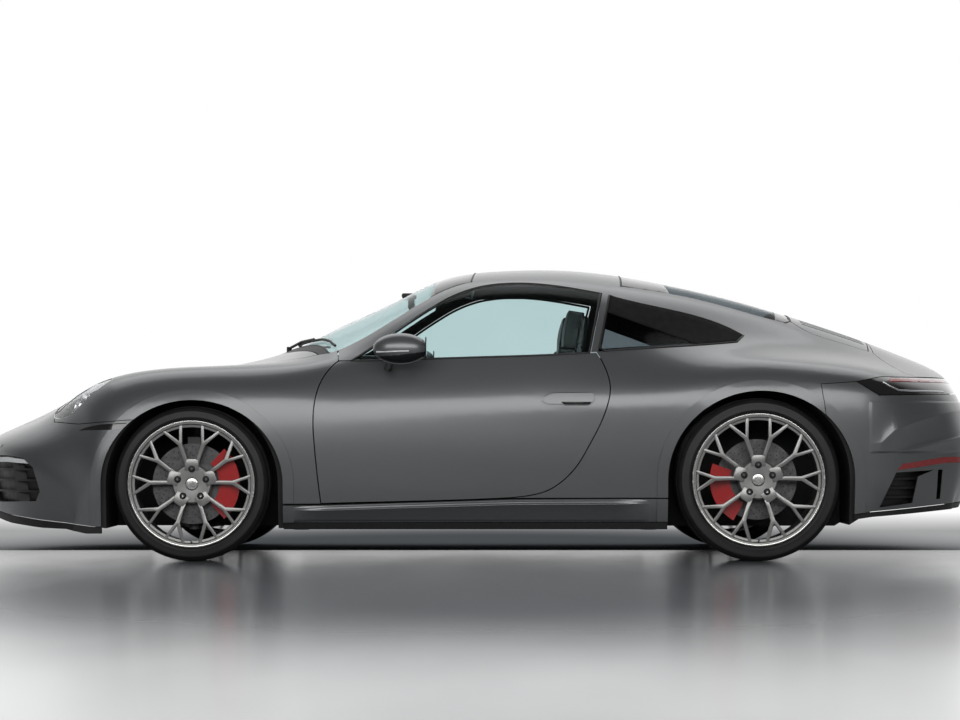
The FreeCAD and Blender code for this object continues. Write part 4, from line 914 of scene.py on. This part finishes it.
# Painted shade: a thin gloss black strip on each door at the handle stands for the shade in the handle's
# recess
RECESS_LOW, RECESS_HIGH = 0.6745, 0.690
RECESS_CUTS = [((0.488, 0, RECESS_LOW), (1, 0, -0.9)), ((0.3855, 0, RECESS_LOW), (-1, 0, -1.9)),
               ((0, 0, RECESS_HIGH), (0, 0, 1)), ((0, 0, RECESS_LOW), (0, 0, -1))]
for side, face in (("left", left_face), ("right", right_face)):
    recess = skin_of(f"door_{side}", lambda c, n, face=face: face(c, n) and c.z < 0.8, 0.0006, 0.0004,
                     RECESS_CUTS)
    fit(recess, f"handle_recess_painted_shade_{side}", black_paint_and_shade, f"door_{side}")


# Pressed lines in the rear bumper and the sills
def ridge(height, above, below, crest):
    """How far a sheet swells out at a height, sharp along its crest."""
    gap = height - crest
    return math.exp(-gap / above) if gap > 0 else math.exp(gap / below)


def between(x, rows):
    """The value at x on a line of (x, value) rows."""
    for (x0, a), (x1, b) in zip(rows, rows[1:]):
        if x <= x1:
            return a + (b - a) * max(0.0, (x - x0) / (x1 - x0))
    return rows[-1][1]


def pressed(name, spot_at, columns, rows, swell, look):
    """A sheet laid over the left side, curved through the panel under it, then pressed out and mirrored."""
    sheet = add("grid", x_subdivisions=columns, y_subdivisions=rows, size=1)
    for v in sheet.data.vertices:
        v.co = spot_at(v.co.x + 0.5, v.co.y + 0.5)
    modify(sheet, "SUBSURF", levels=4, render_levels=4)
    edit_all(sheet)
    bpy.ops.mesh.normals_make_consistent(inside=False)
    done()
    flip = sum(f.normal.y for f in sheet.data.polygons) > 0
    moves = [(v.normal * (-1 if flip else 1)) * swell(v.co) for v in sheet.data.vertices]
    for v, move in zip(sheet.data.vertices, moves):
        v.co += move
    if flip:
        turn_over(sheet)
    smooth(sheet, 1.2)
    other = mirrored(sheet)
    fit(sheet, f"{name}_left", look, "body")
    fit(other, f"{name}_right", look, "body")


bumper_tree = surface("rear_bumper")
TAIL_TURN = Vector((1.60, -0.35, 0))
CREASE = [(1.678, 0.507), (1.752, 0.513), (1.805, 0.565), (1.884, 0.597), (2.015, 0.634), (2.115, 0.648)]
GROOVE = [(1.80, 0.462), (1.831, 0.472), (2.12, 0.535), (2.2, 0.545)]
PRESS_LOW, PRESS_HIGH = 0.462, 0.700


def bumper_spot(u, w):
    turn = math.radians(10 + 76 * u)
    way = Vector((math.sin(turn), -math.cos(turn), 0))
    height = PRESS_LOW + (PRESS_HIGH - PRESS_LOW) * w
    start = TAIL_TURN + way * 2 + Vector((0, 0, height))
    return bumper_tree.ray_cast(start, -way)[0]


def bumper_swell(spot):
    edge = min((spot.x - 1.692) / 0.02, (-spot.y - 0.40) / 0.10, (spot.z - 0.465) / 0.012,
               (0.698 - spot.z) / 0.012, 1)
    start = min(max((spot.x - 1.70) / 0.12, 0), 1)
    groove = min(max((spot.x - 1.82) / 0.10, 0), 1)
    press = 0.0130 * start * ridge(spot.z, 0.040, 0.060, between(spot.x, CREASE))
    press += 0.0085 * groove * ridge(spot.z, 0.006, 0.030, between(spot.x, GROOVE))
    return (0.0018 + press) * max(edge, -1)


pressed("bumper_press", bumper_spot, 14, 6, bumper_swell, paint)
sill_tree = surface("sills")
SILL_TOP = [(-0.82, 0.237), (-0.667, 0.239), (0.165, 0.264), (0.80, 0.267)]
SILL_FOOT = 0.172


def sill_spot(u, w):
    x = -0.80 + 1.56 * u
    height = SILL_FOOT + (between(x, SILL_TOP) - SILL_FOOT) * w
    return on_side(sill_tree, x, height, 0.0)


def sill_swell(spot):
    top = between(spot.x, SILL_TOP)
    ends = min(max((spot.x + 0.80) / 0.16, 0), max((0.76 - spot.x) / 0.16, 0), 1)
    edge = min((spot.x + 0.80) / 0.02, (0.76 - spot.x) / 0.02, (spot.z - SILL_FOOT) / 0.008,
               (top - spot.z) / 0.006, 1)
    return (0.0012 + 0.0110 * ends * ridge(spot.z, 0.009, 0.040, top - 0.016)) * max(edge, -1)


pressed("sill_press", sill_spot, 20, 4, sill_swell, paint)

# Silver line along the foot of each tail lamp
lamp_tree = surface("tail_light")
TAIL_LINE = [(1.765, 0.776), (1.80, 0.756), (1.836, 0.740), (1.90, 0.7375), (1.96, 0.737), (2.02, 0.7365),
             (2.06, 0.736)]
spots = [on_side(lamp_tree, x, z, 0.001) for x, z in TAIL_LINE]
if all(spots):
    silver_line = line_tube(spots, 0.0042)
    other = mirrored(silver_line)
    fit(silver_line, "tail_silver_line_left", silver, "body")
    fit(other, "tail_silver_line_right", silver, "body")


# Floor, light and camera
def spread(tree, value, low, high, least=0.0, most=1.0, kind="LINEAR"):
    """A value brought from one range into another."""
    made = tree.nodes.new("ShaderNodeMapRange")
    made.interpolation_type = kind
    for socket, number in (("From Min", low), ("From Max", high), ("To Min", least), ("To Max", most)):
        made.inputs[socket].default_value = number
    tree.links.new(value, made.inputs["Value"])
    return made.outputs["Result"]


def stretched(look, place, scale, shift=(0, 0, 0)):
    made = node(look, "ShaderNodeMapping")
    made.inputs["Location"].default_value = shift
    made.inputs["Scale"].default_value = scale
    look.node_tree.links.new(place, made.inputs["Vector"])
    return made.outputs["Vector"]


bpy.ops.mesh.primitive_plane_add(size=60)
floor = bpy.context.object
floor.name = "floor"
floor_look = finish("studio_floor", (0.46, 0.465, 0.475), 0.0, 0.2, Specular_IOR_Level=0.2)
tree = floor_look.node_tree
link = tree.links.new
shader = tree.nodes["Principled BSDF"]
place = node(floor_look, "ShaderNodeTexCoord").outputs["Object"]
split = node(floor_look, "ShaderNodeSeparateXYZ")
link(place, split.inputs[0])
depth = split.outputs["Y"]

# Painted shadow: the floor's colour darker in an oval round the car; duller behind it, with soft patches of
# gloss
link(spread(tree, depth, -1.0, 0.2, 0.2, 0.0), shader.inputs["Specular IOR Level"])
away = node(floor_look, "ShaderNodeVectorMath", operation="LENGTH")
link(stretched(floor_look, place, (0.40, 0.25, 1), (0, 0.25, 0)), away.inputs[0])
# Painted shadow of the car: dark floor colour near the car, light further out
painted_car_shadow = node(floor_look, "ShaderNodeMix", data_type="RGBA")
painted_car_shadow.inputs[6].default_value = (0.11, 0.12, 0.13, 1)
painted_car_shadow.inputs[7].default_value = (0.62, 0.625, 0.63, 1)
link(spread(tree, away.outputs["Value"], 0.70, 1.35, kind="SMOOTHSTEP"), painted_car_shadow.inputs[0])
link(painted_car_shadow.outputs[2], shader.inputs["Base Color"])
patches = node(floor_look, "ShaderNodeTexNoise")
patches.inputs["Scale"].default_value = 0.9
patches.inputs["Detail"].default_value = 3
link(stretched(floor_look, place, (1, 0.35, 1)), patches.inputs["Vector"])
link(spread(tree, patches.outputs[0], 0.35, 0.65, 0.17, 0.22), shader.inputs["Roughness"])

# White far behind the car, like the backdrop
white = node(floor_look, "ShaderNodeEmission")
white.inputs["Color"].default_value = (1, 1, 1, 1)
blend = node(floor_look, "ShaderNodeMixShader")
link(spread(tree, depth, 2.6, 6.0), blend.inputs[0])
link(shader.outputs[0], blend.inputs[1])
link(white.outputs[0], blend.inputs[2])
link(blend.outputs[0], tree.nodes["Material Output"].inputs["Surface"])
floor.data.materials.append(floor_look)
floor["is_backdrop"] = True

# Light that grows towards the back and a little overhead
studio = scene.world or bpy.data.worlds.new("studio")
scene.world = studio
studio.use_nodes = True
sky_tree = studio.node_tree
sky = sky_tree.nodes["Background"]
way = sky_tree.nodes.new("ShaderNodeTexCoord")
parts = sky_tree.nodes.new("ShaderNodeSeparateXYZ")
sky_tree.links.new(way.outputs["Generated"], parts.inputs[0])
brighter = sky_tree.nodes.new("ShaderNodeMath")
brighter.operation = "MAXIMUM"
sky_tree.links.new(spread(sky_tree, parts.outputs["Y"], 0.0, 0.5, 0.10, 1.0), brighter.inputs[0])
sky_tree.links.new(spread(sky_tree, parts.outputs["Z"], 0.75, 1.0, 0.0, 0.10), brighter.inputs[1])
sky_tree.links.new(brighter.outputs[0], sky.inputs["Strength"])
sky.inputs["Color"].default_value = (1, 1, 1, 1)


def soft_box(name, place, turn, length, width, power):
    bpy.ops.object.light_add(type="AREA", location=place, rotation=turn)
    lamp = bpy.context.object
    lamp.name = name
    lamp.data.shape = "RECTANGLE"
    lamp.data.size, lamp.data.size_y = length, width
    lamp.data.energy = power


soft_box("top_box", (0, 0.8, 4.4), (0, 0, 0), 8.0, 3.0, 70)
soft_box("side_box", (0, -7.5, 2.9), (math.radians(72), 0, 0), 10.0, 2.8, 320)

EYE = (0.0191, -12.1, 0.557)
view = bpy.data.cameras.new("camera")
camera = bpy.data.objects.new("camera", view)
scene.collection.objects.link(camera)
camera.location = EYE
camera.rotation_euler = (math.pi / 2, 0, 0)
view.sensor_width = 36
view.lens = 97.3
view.shift_y = 0.0756
scene.camera = camera
scene.view_settings.view_transform = "Standard"

low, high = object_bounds()
